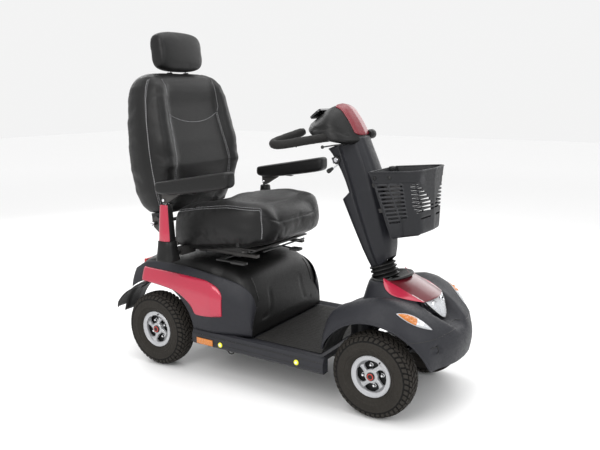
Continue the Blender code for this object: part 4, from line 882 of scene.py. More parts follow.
# The backrest at each height, in its own frame: half width, most forward y of its bolsters, and rear y.
BACK_HALF = [
    (0.035, 0.2), (0.07, 0.222), (0.13, 0.241), (0.22, 0.252), (0.32, 0.253), (0.42, 0.246), (0.5, 0.234),
    (0.55, 0.219), (0.585, 0.196), (0.604, 0.164),
]
BACK_FRONT = [
    (0.035, -0.016), (0.07, -0.044), (0.13, -0.086), (0.22, -0.121), (0.32, -0.119), (0.42, -0.106),
    (0.5, -0.098), (0.55, -0.088), (0.585, -0.068), (0.604, -0.036),
]
BACK_REAR = [
    (0.035, 0.056), (0.07, 0.08), (0.13, 0.091), (0.22, 0.093), (0.32, 0.089), (0.42, 0.082), (0.52, 0.072),
    (0.57, 0.06), (0.604, 0.038),
]


# Seams down one side of the centre panel, as (x, height): above the arch and below it.
PANEL_SEAMS = (
    [(0.148, 0.575), (0.15, 0.53), (0.158, 0.48), (0.16, 0.455), (0.15, 0.432)],
    [(0.152, 0.432), (0.158, 0.36), (0.166, 0.28), (0.172, 0.2), (0.172, 0.1)],
)
# The side panel: (out from the half width, share of the way back).
BACK_SIDE = [(0.004, 0.12), (0.006, 0.35), (0.006, 0.6), (0.002, 0.8), (-0.006, 0.91), (-0.022, 0.975)]


def back_front_y(x, h):
    """The front face: side bolsters stand forward of a dished centre panel with a lumbar swell."""
    half = table(BACK_HALF, h)
    t = abs(x) / half
    bolster = ease(0.58, 0.8, t)
    dish = 0.034 * (1 - bolster) * ease(0.02, 0.16, h) * (1 - ease(0.46, 0.6, h))
    lumbar = 0.01 * exp(-(((h - 0.2) / 0.09) ** 2)) * (1 - bolster)
    reach = table(BACK_FRONT, h)
    roll = (-0.034 - reach) * max(0.0, (t - 0.885) / 0.115) ** 2.4
    return reach + dish - lumbar + roll


def make_backrest():
    mesh = bmesh.new()
    rows = []
    for h in evenly(0.04, 0.56, 46):
        half, rear = table(BACK_HALF, h), table(BACK_REAR, h)
        row = []
        for t in evenly(-1, 2, 40):
            t = power(sin(t * pi / 2), 0.9)
            row.append((half * t, back_front_y(half * t, h), h))
        edge_y = row[-1][1]
        # Side panels run straight back to a rounded rear corner, and the back is slightly bowed.
        near = [(half + out, edge_y + (rear - edge_y) * u, h) for out, u in BACK_SIDE]
        row += near
        row += [(half * t, rear + 0.004 * (1 - t * t), h) for t in (0.75, 0.5, 0.25, 0, -0.25, -0.5, -0.75)]
        row += [(-x, y, z) for x, y, z in reversed(near)]
        rows.append(row)

    def closed(row, shrink, h):
        """A smaller ring that rounds off the top or the bottom."""
        mean = sum(p[1] for p in row) / len(row)
        return [(p[0] * shrink, mean + (p[1] - mean) * shrink, h) for p in row]

    rows = [closed(rows[0], 0.8, 0.03), *rows, closed(rows[-1], 0.86, 0.606)]
    solid(mesh, rows)
    back = piece("backrest_cover", mesh, VINYL)
    puffed(back, 0.006, 0.008, keep=0.3)

    def on_front(x, h):
        return Vector((x, back_front_y(x, h), h))

    seams, threads = [], []
    for side in (-1, 1):
        # Side panel seam, from the top shoulder down the outer edge of the bolster.
        line = [on_front(side * table(BACK_HALF, h) * 0.99, h) for h in evenly(0.06, 0.52, 40)]
        seams.append(line)
        for shift in THREAD_SHIFTS:
            threads.append([p + Vector((side * shift, 0, 0)) for p in line])
        # Centre panel: an arch under the shoulders, a short seam up from each end and a long one down.
        upper, lower = (smooth_path([on_front(side * x, h) for x, h in line], 5) for line in PANEL_SEAMS)
        seams += [upper, lower]
        threads.append([p + Vector((side * 0.004, 0, 0)) for p in upper])
        threads += [[p + Vector((side * shift, 0, 0)) for p in lower] for shift in (-0.004, 0.004)]
    across = (-0.15, -0.12, -0.08, -0.04, 0, 0.04, 0.08, 0.12, 0.15)
    arch = smooth_path([on_front(x, 0.398 + 0.036 * (abs(x) / 0.15) ** 2.2) for x in across], 5)
    seams.append(arch)
    threads.append([p + Vector((0, 0, -0.004)) for p in arch])
    groove(back, seams, SEAM_WIDTH, SEAM_DEPTH)
    back.data.transform(BACK_FRAME)
    threads = [[BACK_FRAME @ p for p in path] for path in threads]
    settle(back, "backrest", "backrest_cushion")
    stitches("backrest_thread", back, threads, "backrest", THREAD)

    # Moulded rear shell of the backrest.
    mesh = bmesh.new()
    rows = []
    across = (-1, -0.97, -0.88, -0.6, -0.3, 0, 0.3, 0.6, 0.88, 0.97, 1)
    for h in evenly(0.075, 0.46, 16):
        half, rear = table(BACK_HALF, h) - 0.03, table(BACK_REAR, h)
        rows.append([(half * t, rear + 0.0045 - 0.016 * abs(t) ** 6, h) for t in across])
    skin(mesh, rows)
    mesh.transform(BACK_FRAME)
    shell = piece("backrest_rear_shell", mesh, PLASTIC_BLACK, "backrest")
    thicken(shell, 0.004)
    add_modifier(shell, "BEVEL", width=0.0012, segments=2)


def make_headrest():
    mesh = bmesh.new()
    rows = []
    for k in range(33):
        a = pi * (k / 32) - pi / 2
        x = 0.125 * power(sin(a), 0.8)
        s = max(0.06, cos(a)) ** 0.42
        ring = []
        for b in arcs(56):
            c, d = cos(b), sin(b)
            y = -0.03 + 0.043 * (0.45 + 0.55 * s) * power(c, 0.66)
            z = 0.69 + 0.0815 * (0.42 + 0.58 * s) * power(d, 0.7)
            ring.append((x, y, z))
        rows.append(ring)
    solid(mesh, rows)
    rest = piece("headrest_cover", mesh, VINYL)
    puffed(rest, 0.005, 0.006, keep=0.5)
    seams = []
    for side in (-1, 1):
        ring = [
            Vector((side * 0.112, -0.03 + 0.043 * power(cos(b), 0.66), 0.69 + 0.079 * power(sin(b), 0.7)))
            for b in arcs(60)
        ]
        seams.append([*ring, ring[0]])
    groove(rest, seams, 0.0035, 0.0022)
    rest.data.transform(BACK_FRAME)
    settle(rest, "headrest", "headrest")

    mesh = bmesh.new()
    for side in (-1, 1):
        sweep(mesh, [(side * 0.05, -0.02, h) for h in (0.462, 0.52, 0.58, 0.64)], 0.0055, 18)
    mesh.transform(BACK_FRAME)
    piece("headrest_rods", mesh, CHROME, "headrest")
    mesh = bmesh.new()
    for side in (-1, 1):
        lathe(
            mesh, (side * 0.05, -0.02, 0.596), (0, 0, 1),
            [(0.013, 0), (0.013, 0.006), (0.0115, 0.01), (0.0085, 0.011)], 24,
        )
    mesh.transform(BACK_FRAME)
    piece("headrest_collars", mesh, SATIN_BLACK, "backrest")


PAD = [  # (along, half width, top, bottom)
    (0.03, 0.021, 0.06, 0.0385), (0.0285, 0.026, 0.0655, 0.033), (0.024, 0.0285, 0.068, 0.029),
    (0.01, 0.03, 0.0708, 0.0222), (-0.05, 0.0305, 0.0815, 0.023), (-0.15, 0.0305, 0.0985, 0.038),
    (-0.25, 0.0305, 0.116, 0.054), (-0.29, 0.0302, 0.1232, 0.062), (-0.304, 0.029, 0.1252, 0.066),
    (-0.313, 0.0262, 0.124, 0.071), (-0.3175, 0.0215, 0.12, 0.077), (-0.319, 0.015, 0.115, 0.083),
]
# Post and sleeve: (height, half width, half depth) of rounded squares.
SLEEVE = [
    (0.5415, 0.025, 0.0265), (0.5415, 0.0268, 0.0292), (0.543, 0.0274, 0.0298), (0.58, 0.0258, 0.0276),
    (0.62, 0.0238, 0.025), (0.66, 0.0214, 0.0222), (0.676, 0.0204, 0.0208), (0.68, 0.0194, 0.0198),
    (0.6815, 0.017, 0.0175),
]
FOOT = [
    (0.4635, 0.033, 0.036), (0.464, 0.0392, 0.0422), (0.468, 0.04, 0.043), (0.476, 0.0375, 0.0415),
    (0.495, 0.0342, 0.039), (0.52, 0.0315, 0.0355), (0.5385, 0.03, 0.0338), (0.54, 0.029, 0.0325),
]
POST_Y = 0.384


def make_armrests():
    for name, side in SIDES:
        at = Matrix.Translation((side * ARMREST_X, ARM_PIVOT.y, ARM_PIVOT.z))
        body = f"armrest_{name}"
        # The pad, with a groove round its waist.
        mesh = bmesh.new()
        rows = []
        for along, half, top, low in PAD:
            row = []
            for a in arcs(44, 0.07):
                c, s = cos(a), sin(a)
                z = (top + low) / 2 + (top - low) / 2 * power(s, 0.42)
                x = half * power(c, 0.42)
                waist = exp(-(((s - 0.3) / 0.085) ** 2))
                row.append((x * (1 - 0.085 * waist), along, z))
            rows.append(row)
        solid(mesh, rows)
        mesh.transform(at)
        pad = piece(f"armrest_pad_{name}_cover", mesh, VINYL, body, f"armrest_pad_{name}", smooth=70)
        add_modifier(pad, "SUBSURF", levels=1, render_levels=1)

        # Hinge bracket under the pad: two cheeks, the pin with its cap nuts, and a stop.
        mesh = bmesh.new()
        outline = [
            (-0.016, -0.009), (-0.01, -0.012), (0.006, -0.012), (0.01, -0.008), (0.012, 0.024),
            (-0.07, 0.033), (-0.072, 0.024),
        ]
        for low in (0.0046, -0.0076):
            prism(mesh, outline, 0.003, side_plane(low), 0.02)
        lathe(
            mesh, (-0.016, 0, 0), (1, 0, 0),
            [
                (0.002, 0), (0.0058, 0.002), (0.0066, 0.005), (0.0042, 0.0055), (0.0042, 0.0265),
                (0.0066, 0.027), (0.0058, 0.03), (0.002, 0.032),
            ],
            18, 1,
        )
        box_at(mesh, (-0.01, -0.15, 0.033), (0.01, -0.03, 0.0352), 0.0006)
        mesh.transform(at)
        piece(f"armrest_bracket_{name}", mesh, [FRAME_PAINT, CHROME], body)

        # Upright: a sleeve that is red outside and black inside, a moulded foot and a square tube.
        support = f"armrest_support_{name}"
        x = side * ARMREST_X

        def upright(stations):
            found = []
            for z, hx, hy in stations:
                ring = [(hx * power(cos(a), 0.72), hy * power(sin(a), 0.72)) for a in arcs(40)]
                found.append([(x + across, POST_Y + along, z) for across, along in ring])
            return found

        mesh = bmesh.new()
        solid(mesh, upright(SLEEVE))
        for face in mesh.faces:
            middle = face.calc_center_median()
            outward = side * (middle.x - x) + 0.5 * (middle.y - POST_Y)
            face.material_index = 0 if outward > 0.001 else 1
        piece(
            f"armrest_sleeve_{name}_gloss", mesh, [RED, PLASTIC_BLACK], support, f"armrest_sleeve_{name}",
        )
        mesh = bmesh.new()
        solid(mesh, upright(FOOT))
        inner = side * 0.186
        box_at(mesh, (min(inner, x), 0.377, 0.476), (max(inner, x), 0.391, 0.49), 0.0012, 1)
        box_at(mesh, (x - 0.0095, 0.3755, 0.53), (x + 0.0095, 0.3925, 0.685), 0.0015, 2)
        box_at(mesh, (x - 0.004, 0.375, 0.68), (x + 0.004, 0.395, 0.7075), 0.001, 2)
        piece(
            f"armrest_post_{name}_moulded", mesh, [PLASTIC_BLACK, FRAME_PAINT, STEEL], support,
            f"armrest_post_{name}",
        )


def make_seat_frame():
    """Tray and brackets, all drawn in under the cushion."""
    mesh = bmesh.new()
    box_at(mesh, (-0.185, 0.07, 0.506), (0.185, 0.44, 0.513), 0.002)
    for side in (-1, 1):
        box_at(mesh, (side * 0.162 - 0.012, 0.12, 0.489), (side * 0.162 + 0.012, 0.415, 0.508), 0.0015)
        box_at(mesh, (side * 0.221 - 0.041, 0.3705, 0.47), (side * 0.221 + 0.041, 0.3975, 0.5035), 0.002)
        outline = [
            (0.4, 0.4965), (0.47, 0.4965), (0.56, 0.56), (0.56, 0.592), (0.532, 0.592), (0.48, 0.53),
            (0.4, 0.52),
        ]
        prism(mesh, outline, 0.005, side_plane(side * 0.2125 - 0.0025), 0.01)
    piece("seat_frame_tray", mesh, FRAME_PAINT, "seat", "seat_frame")


def make_seat_hardware():
    """Hinge plates with their bolts, bolts under the seat, and caps on the backrest's pivot."""
    mesh = bmesh.new()
    for side in (-1, 1):
        outline = [
            (0.43, 0.494), (0.474, 0.494), (0.56, 0.556), (0.566, 0.59), (0.548, 0.602), (0.53, 0.594),
            (0.476, 0.536), (0.43, 0.52),
        ]
        prism(mesh, outline, 0.0024, side_plane(side * 0.2165 - 0.0012), 0.01)
        lathe(
            mesh, (side * 0.2178, 0.48, 0.512), (side, 0, 0),
            [(0.0078, 0), (0.0078, 0.004), (0.0066, 0.0052)], 6, 1,
        )
        for y in (0.12, 0.3):
            lathe(
                mesh, (side * 0.196, y, 0.506), (0, 0, -1), [(0.0085, 0), (0.0085, 0.006), (0.007, 0.0072)],
                6, 0,
            )
    piece("seat_hinge_plates", mesh, [FRAME_PAINT, STEEL], "seat")
    mesh = bmesh.new()
    for side in (-1, 1):
        at = Vector((side * 0.24, BACK_PIVOT.y, BACK_PIVOT.z))
        lathe(
            mesh, at, (side, 0, 0),
            [(0.0105, 0), (0.0105, 0.0035), (0.009, 0.005), (0.0075, 0.0075), (0.003, 0.009)], 20,
        )
    piece("backrest_pivot_caps", mesh, CHROME, "backrest")


make_cushion()
make_backrest()
make_headrest()
make_armrests()
make_seat_frame()
make_seat_hardware()


# ---- front body
ARCH_R = 0.195
COWL_MIDDLE_Y = -0.395
CREASE_Z = 0.296

# Half of the cowl's plan outline, from the middle of the nose to the middle of its rear edge.
COWL_PLAN = [
    (0.0, -0.7165), (0.06, -0.712), (0.105, -0.701), (0.15, -0.683), (0.2, -0.653), (0.242, -0.608),
    (0.268, -0.56), (0.284, -0.49), (0.29, -0.41), (0.29, -0.33), (0.284, -0.29), (0.262, -0.272),
    (0.2, -0.27), (0.125, -0.274), (0.1, -0.296), (0.088, -0.32), (0.05, -0.326), (0.0, -0.327),
]


def cowl_outline():
    """The plan outline as even points, all the way round."""
    half = smooth_path([(x, y, 0) for x, y in COWL_PLAN], 8)
    ring = half + [Vector((-p.x, p.y, 0)) for p in reversed(half[1:-1])]
    return even([*ring, ring[0]], 0.0105)[:-1]


# The lens outline: half width and height, from its tip to its top corner.
LENS_EDGE = [(0.0, 0.3185), (0.022, 0.3255), (0.045, 0.346), (0.068, 0.369), (0.081, 0.386)]


def lens_point(x, z, back=0.0):
    return Vector((x, -0.6175 + 0.55 * (z - 0.3185) + 1.0 * x * x + back, z))


# Height of the cowl along y: over the fenders, and in the channel between them.
COWL_CREST = [
    (-0.72, 0.318), (-0.69, 0.333), (-0.66, 0.35), (-0.62, 0.374), (-0.58, 0.394), (-0.54, 0.409),
    (-0.5, 0.418), (-0.455, 0.419), (-0.41, 0.41), (-0.36, 0.391), (-0.31, 0.371), (-0.27, 0.36),
]
COWL_INNER = [
    (-0.72, 0.318), (-0.66, 0.341), (-0.62, 0.358), (-0.58, 0.377), (-0.55, 0.388), (-0.52, 0.395),
    (-0.48, 0.4), (-0.44, 0.397), (-0.4, 0.385), (-0.33, 0.364), (-0.27, 0.352),
]


def cowl_top(x, y):
    """The cowl's height: crowned fenders that fall away in front, and a channel under the headlight."""
    wide = abs(x)
    crest = table(COWL_CREST, y)
    inner = table(COWL_INNER, y)
    top = inner + (crest - inner) * ease(0.11, 0.215, wide)
    edge = table(LENS_EDGE, wide)
    ahead = lens_point(wide, edge).y - y
    shelf = 0.3145 + 0.062 * ease(0.03, 0.125, wide) + 0.012 * ease(0.03, 0.09, ahead)
    return top + (min(top, shelf) - top) * ease(-0.024, -0.015, ahead) * (1 - ease(0.078, 0.1, wide))


def crease_z(x):
    """The crease across the nose rises a little towards the middle."""
    return CREASE_Z + 0.008 * ease(0.22, 0.05, abs(x))


def cowl_point(v, at):
    """The cowl's surface at a point of its outline: v is 0 at the bottom edge and 1 on top, at the middle."""
    x, y = at.x, at.y
    front = ease(-0.46, -0.66, y)
    sharp = 8 - 2.5 * front
    level = max(0.0, 1 - v**3) ** (1 / sharp)
    px, py = x * level, COWL_MIDDLE_Y + (y - COWL_MIDDLE_Y) * level
    low = 0.196 - 0.006 * max(0.0, min(1.0, (-0.56 - y) / 0.14))
    low -= 0.007 * front * ease(0.17, 0.22, abs(x))
    z = low + (max(cowl_top(px, py), low + 0.02) - low) * v
    # The chin tucks in under the crease.
    crease = crease_z(px)
    below = max(0.0, crease - z)
    inset = front * (0.005 * (1 - ease(-0.004, 0.0, z - crease)) + 0.3 * below**1.25)
    inset *= 1 - 0.75 * ease(0.15, 0.225, abs(x))
    py = COWL_MIDDLE_Y + (py - COWL_MIDDLE_Y) * (1 - inset / 0.32)
    px *= 1 - 0.5 * inset / 0.32
    # Flare round the wheel arch.
    gap = sqrt((py - FRONT_AXLE_Y) ** 2 + (z - AXLE_Z) ** 2) - ARCH_R
    if abs(px) > 0.19:
        px += (1 if px > 0 else -1) * 0.0055 * (1 - ease(0.014, 0.04, abs(gap)))
    # Step recess low on each side of the nose.
    if abs(abs(px) - 0.176) < 0.017 and 0.25 < z < 0.276 and py < -0.6:
        py += 0.006
    return Vector((px, py, z))


def make_cowl():
    """The front cowl with its wheel arches. Returns the surface that later pieces are laid on."""
    ring = cowl_outline()
    rows = []
    levels = [
        0, 0.05, 0.1, 0.15, 0.2, 0.245, 0.26, 0.28, 0.3, 0.32, 0.34, 0.355, 0.37, 0.4, 0.43, 0.46, 0.49, 0.5,
        0.51, 0.54, 0.58, 0.62, 0.67, 0.72, 0.77, 0.82, 0.865, 0.9, 0.93, 0.955, 0.972, 0.984, 0.991, 0.9955,
        0.998, 0.9993, 0.9999,
    ]
    for v in levels:
        rows.append([cowl_point(v, p) for p in ring])
    for shrink in (0.26, 0.13):
        plan = [(p.x * shrink, COWL_MIDDLE_Y + (p.y - COWL_MIDDLE_Y) * shrink) for p in ring]
        rows.append([Vector((x, y, cowl_top(x, y))) for x, y in plan])
    mesh = bmesh.new()
    skin(mesh, rows, wrap=True)
    cowl = piece("front_cowl_body", mesh, PLASTIC_GREY, smooth=50)
    skin_tree = surface_of(cowl)
    thicken(cowl, 0.0035)
    for name, side in SIDES:
        mesh = bmesh.new()
        lathe(mesh, (side * 0.1, FRONT_AXLE_Y, AXLE_Z), (side, 0, 0), [(ARCH_R, 0), (ARCH_R, 0.24)], 120)
        knife = piece(f"arch_knife_{name}", mesh, PLASTIC_GREY)
        add_modifier(cowl, "BOOLEAN", operation="DIFFERENCE", solver="EXACT", object=knife)
        baked(cowl)
        bpy.data.objects.remove(knife)
    settle(cowl, "chassis", "front_cowl")
    cowl.data.set_sharp_from_angle(angle=radians(40))

    # Rolled lip on each wheel arch, and an inner liner behind it.
    for name, side in SIDES:
        lip = []
        for a in evenly(radians(8), radians(164), 72):
            at = Vector((side * 0.4, FRONT_AXLE_Y + ARCH_R * cos(a), AXLE_Z + ARCH_R * sin(a)))
            hit = cast(skin_tree, at, (-side, 0, 0))
            if hit and abs(hit.x) > 0.15:
                lip.append(hit + Vector((-side * 0.0015, 0, 0)))
        mesh = bmesh.new()
        sweep(mesh, lip, 0.004, 10, rounded=True)
        piece(f"front_arch_lip_{name}", mesh, PLASTIC_GREY, "chassis")
        mesh = bmesh.new()
        rows = []
        for a in evenly(radians(14), radians(152), 40):
            y, z = FRONT_AXLE_Y + 0.1925 * cos(a), AXLE_Z + 0.1925 * sin(a)
            edge = 0.262 - 0.09 * ease(-0.56, -0.66, y)
            rows.append([(side * x, y, z) for x in (0.12, 0.16, 0.2, edge)])
        skin(mesh, rows)
        liner = piece(f"front_arch_liner_{name}", mesh, PLASTIC_BLACK, "chassis")
        thicken(liner, 0.002, 0)
    return skin_tree


# Half of the gloss trim: its lower edge, the ridge between its red side facets and its middle panel in
# painted shade, and its middle line.
TRIM_OUTER = [
    (0.097, -0.42, 0.452), (0.117, -0.436, 0.427), (0.13, -0.466, 0.411), (0.127, -0.502, 0.4035),
    (0.11, -0.534, 0.3955), (0.082, -0.569, 0.3865),
]
TRIM_RIDGE = [
    (0.09, -0.421, 0.4515), (0.09, -0.449, 0.44), (0.089, -0.48, 0.4275), (0.088, -0.511, 0.414),
    (0.085, -0.541, 0.401), (0.081, -0.5695, 0.3875),
]
TRIM_MIDDLE = [
    (0, -0.47, 0.444), (0, -0.494, 0.4355), (0, -0.518, 0.4255), (0, -0.543, 0.414), (0, -0.567, 0.4025),
    (0, -0.5905, 0.3895),
]


COLLAR_Y = -0.402
COLLAR = (
    (1.02, -0.004), (1.03, 0.0005), (1.0, 0.0045), (0.94, 0.0045), (0.88, 0.0), (0.78, -0.006),
    (0.68, -0.0095), (0.56, -0.013), (0.4, -0.018),
)  # (size, lift)


def make_bonnet():
    """Gloss red trim with its middle panel darkened as painted shade, the bonnet under it, and the collar of
    the gaiter.
    """
    outer, ridge, middle = (smooth_path(t, 4) for t in (TRIM_OUTER, TRIM_RIDGE, TRIM_MIDDLE))
    mesh = bmesh.new()
    half_rows = []
    for o, r, m in zip(outer, ridge, middle):
        half = []
        for u in evenly(0, 1, 10):
            p = m.lerp(r, u)
            p.y = m.y + (r.y - m.y) * u**1.9
            p.z = m.z + (r.z - m.z) * u**1.6 + 0.0015 * (1 - u * u)
            half.append(p)
        half += [r.lerp(o, t) + Vector((0, 0, 0.0022)) * sin(pi * t) for t in (0.06, 0.3, 0.6, 0.9, 1.0)]
        half_rows.append(half)
    lines = skin(mesh, [mirrored(half) for half in half_rows])
    # The side facets take the red, and the middle panel takes a darker copy of it as painted shade, since on
    # the one moulding the lit facets look brighter.
    index = {v: j for line in lines for j, v in enumerate(line)}
    for face in mesh.faces:
        columns = [index[v] for v in face.verts]
        face.material_index = 1 if max(columns) <= 5 or min(columns) >= 25 else 0
    trim = piece("bonnet_trim_gloss", mesh, [RED_PAINTED_SHADE, RED], smooth=22)
    tree = surface_of(trim)
    thicken(trim, 0.0025)
    add_modifier(trim, "BEVEL", width=0.0008, segments=2)
    settle(trim, "chassis", "bonnet_trim")

    # Painted highlight: a thin white line along each ridge stands in for the light caught on it.
    mesh = bmesh.new()
    for side in (-1, 1):
        sweep(mesh, [Vector((side * p.x, p.y, p.z + 0.0006)) for p in ridge[14:]], 0.0008, 8)
    piece("bonnet_trim_painted_highlight", mesh, WHITE_PLASTIC, "chassis")

    mesh = bmesh.new()
    rows = []
    for t in evenly(0, 1, 14):
        row = []
        for a in arcs(96):
            c, s = cos(a), sin(a)
            reach = 0.15 if s > 0 else 0.104
            foot = Vector((0.145 * power(c, 0.8), -0.425 - reach * power(s, 0.85), 0))
            foot.z = cowl_top(foot.x, max(foot.y, -0.56)) - 0.003
            reach = 0.08 if s > 0 else 0.062
            top = Vector((0.092 * c, COLLAR_Y - reach * s, 0.44 + 0.008 * s))
            p = foot.lerp(top, t)
            p.z = foot.z + (top.z - foot.z) * (sin(t * pi / 2) ** (1.25 - 0.15 * s))
            hit = cast(tree, (p.x, p.y, 0.6), (0, 0, -1))
            if hit:
                p.z = min(p.z, hit.z - 0.004)
            row.append(p)
        rows.append(row)
    # Rolled top edge, turned down inside the collar.
    last = rows[-1]
    for shrink, drop in ((0.96, -0.001), (0.92, 0.006), (0.9, 0.016)):
        rows.append([Vector((p.x * shrink, COLLAR_Y + (p.y - COLLAR_Y) * shrink, p.z - drop)) for p in last])
    skin(mesh, rows, wrap=True)
    bonnet = piece("bonnet_body", mesh, PLASTIC_GREY, smooth=60)
    thicken(bonnet, 0.003)
    settle(bonnet, "chassis", "bonnet")

    # Collar: a dished black ring that the gaiter stands in.
    mesh = bmesh.new()
    rows = []
    for scale, lift in COLLAR:
        row = []
        for a in arcs(80):
            c, s = cos(a), sin(a)
            reach, rise = (0.082, 0.012) if s > 0 else (0.06, 0.008)
            row.append((0.092 * scale * c, COLLAR_Y - reach * scale * s, 0.442 + rise * s * scale + lift))
        rows.append(row)
    skin(mesh, rows, wrap=True)
    collar = piece("gaiter_collar", mesh, SATIN_BLACK, "chassis", smooth=60)
    thicken(collar, 0.002)


def make_headlight():
    def lens_rows(shrink, back, crown):
        rows = []
        for t in evenly(0, 1, 12):
            z = 0.319 + (0.386 - 0.319) * t
            wide = table([(z0, x0) for x0, z0 in LENS_EDGE], z)
            row = []
            for u in evenly(-1, 2, 24):
                bow = crown * (1 - u * u) * sin(pi * min(1, t + 0.1))
                row.append(lens_point(wide * u * shrink, 0.355 + (z - 0.355) * shrink, back - bow))
            rows.append(row)
        return rows

    mesh = bmesh.new()
    skin(mesh, lens_rows(1.0, 0.0, 0.006))
    for v in mesh.verts:
        if abs(v.co.x) < 0.07 and 0.33 < v.co.z < 0.38:
            v.co.y += 0.0012 * (1 if int((v.co.x + 1) * 140) % 2 else -1)  # upright prisms
    lens = piece("headlight_lens", mesh, LENS, smooth=20)
    thicken(lens, 0.0025)
    settle(lens, "chassis", "headlight")
    mesh = bmesh.new()
    skin(mesh, lens_rows(0.985, 0.011, -0.012))
    for x in (-0.034, 0.034):
        lathe(
            mesh, (x, -0.59, 0.362), (0, -1, 0.1),
            [
                (0.021, -0.004), (0.019, 0.002), (0.012, -0.002), (0.006, -0.003), (0.0058, 0.006),
                (0.002, 0.008),
            ],
            32,
        )
    piece("headlight_reflector", mesh, REFLECTOR, "chassis", smooth=20)
    mesh = bmesh.new()
    line = [lens_point(x, z) for x, z in reversed(LENS_EDGE)] + [lens_point(-x, z) for x, z in LENS_EDGE[1:]]
    sweep(mesh, smooth_path(line, 3), 0.0024, 8)
    piece("headlight_seal", mesh, SATIN_BLACK, "chassis")


INDICATOR_ENDS = ((0.235, -0.541, 0.387), (0.168, -0.636, 0.33))


def make_indicators(cowl_tree):
    """Leaf-shaped lamps laid on the cowl, each with a bright bezel, a two-colour lens and its bulbs."""
    for name, side in SIDES:
        rear, front = (Vector((side * x, y, z)) for x, y, z in INDICATOR_ENDS)
        axis = (front - rear).normalized()
        outward = Vector((side * 0.42, -0.6, 0.68))
        outward = (outward - axis * outward.dot(axis)).normalized()
        across = axis.cross(outward) * side

        def on_cowl(at):
            return cast(cowl_tree, at + outward * 0.06, -outward, at)

        def leaf(length, width, base, crown, mesh, split=None):
            rows = []
            for k in range(25):
                u = k / 24
                half = width * sin(pi * u) ** 0.8 * (1.05 - 0.25 * u) if 0 < k < 24 else 0.0006
                row = []
                for j in range(9):
                    w = -1 + j / 4
                    at = rear.lerp(front, 0.5 + (u - 0.5) * length) + across * half * w
                    row.append(on_cowl(at) + outward * (base + crown * (1 - w * w) * sin(pi * u) ** 0.6))
                rows.append(row)
            lines = skin(mesh, rows)
            if split:
                order = {v: k for k, line in enumerate(lines) for v in line}
                for face in mesh.faces:
                    face.material_index = 0 if min(order[v] for v in face.verts) < split else 1

        mesh = bmesh.new()
        leaf(1.03, 0.0182, 0.0004, 0.0012, mesh)
        rim = piece(f"indicator_{name}_bezel", mesh, ALLOY, smooth=30)
        thicken(rim, 0.003, 0)
        settle(rim, "chassis")
        mesh = bmesh.new()
        leaf(0.965, 0.0166, 0.0024, 0.0042, mesh, 13)
        lens = piece(f"indicator_{name}_lens", mesh, [AMBER, LENS], smooth=30)
        thicken(lens, 0.002)
        settle(lens, "chassis", f"indicator_{name}")
        # Bulb humps under the lens.
        mesh = bmesh.new()
        for u, index in ((0.3, 0), (0.46, 0), (0.68, 1)):
            lathe(
                mesh, on_cowl(rear.lerp(front, u)), outward,
                [(0.0092, 0.001), (0.0088, 0.0055), (0.006, 0.0082), (0.002, 0.0092)], 20, index,
            )
        piece(f"indicator_{name}_bulbs", mesh, [AMBER, WHITE_PLASTIC], "chassis")


FOLDS = 4


def make_gaiter():
    """Bellows between the collar and the column cover."""
    mesh = bmesh.new()
    rows = []
    for t in evenly(0, 1, FOLDS * 12):
        fold = 0.5 - 0.5 * cos(2 * pi * FOLDS * t)
        r = 0.0435 + 0.0085 * power(fold, 0.7) - 0.002 * t
        rows.append([(r * 1.02 * cos(a), r * sin(a), -0.024 + 0.058 * t) for a in arcs(56)])
    skin(mesh, rows, wrap=True)
    mesh.transform(COLUMN_FRAME)
    gaiter = piece("gaiter_bellows", mesh, GAITER, smooth=60)
    thicken(gaiter, 0.002)
    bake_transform(gaiter)
    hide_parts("gaiter")


# Path of the painted shadow along the edges of the step low on each side of the nose, as (across, height).
NOSE_STEP_SHADE = [(0.196, 0.272), (0.18, 0.2715), (0.164, 0.2705), (0.161, 0.26), (0.162, 0.25), (0.172, 0.248)]


def make_nose_painted_shade(cowl_tree):
    """Painted shade: dark lines along the crease across the nose, and along the edges of an L-shaped step low
    on each side.
    """

    def on_nose(x, z):
        return cast(cowl_tree, (x, -1.0, z), (0, 1, 0), Vector((x, -0.68, z)))

    mesh = bmesh.new()
    # A dark line along the crease stands in for the shade in it.
    crease = [on_nose(x, crease_z(x)) + Vector((0, 0.0004, 0)) for x in evenly(-0.252, 0.504, 48)]
    sweep(mesh, crease, 0.0013, 8)
    for side in (-1, 1):
        sweep(mesh, [on_nose(side * x, z) for x, z in NOSE_STEP_SHADE], 0.0018, 8)
    piece("nose_painted_shade_lines", mesh, SATIN_BLACK, "chassis")


cowl_tree = make_cowl()
make_nose_painted_shade(cowl_tree)
make_bonnet()
make_headlight()
make_indicators(cowl_tree)
make_gaiter()


# ---- rear body and floor
SHROUD_TOP = [
    (0.044, 0.24), (0.052, 0.3), (0.062, 0.35), (0.085, 0.398), (0.12, 0.43), (0.17, 0.447), (0.24, 0.455),
    (0.34, 0.458), (0.45, 0.457), (0.54, 0.449), (0.595, 0.428), (0.625, 0.395), (0.64, 0.352),
]
SHROUD_LOW = [(0.2, 0.189), (0.245, 0.3), (0.3, 0.336), (0.66, 0.345)]
PANEL_TOP = [
    (0.046, 0.3), (0.052, 0.335), (0.075, 0.368), (0.12, 0.392), (0.22, 0.414), (0.4, 0.43), (0.55, 0.424),
    (0.622, 0.385),
]
TRIM_TOP = [
    (0.16, 0.335), (0.166, 0.352), (0.18, 0.368), (0.21, 0.383), (0.25, 0.392), (0.41, 0.4), (0.56, 0.402)
]
TRIM_LOW = [
    (0.16, 0.262), (0.285, 0.247), (0.3, 0.275), (0.332, 0.305), (0.38, 0.33), (0.456, 0.343), (0.56, 0.35)
]


# Half of the panel line on the shroud's front: (across, height), up to its middle.
SHROUD_LINE = [(0.175, 0.245), (0.135, 0.25), (0.118, 0.275), (0.112, 0.33), (0.098, 0.352), (0, 0.356)]
VENT = [(0.183, 0.4), (0.187, 0.385), (0.189, 0.365), (0.19, 0.34), (0.19, 0.315)]


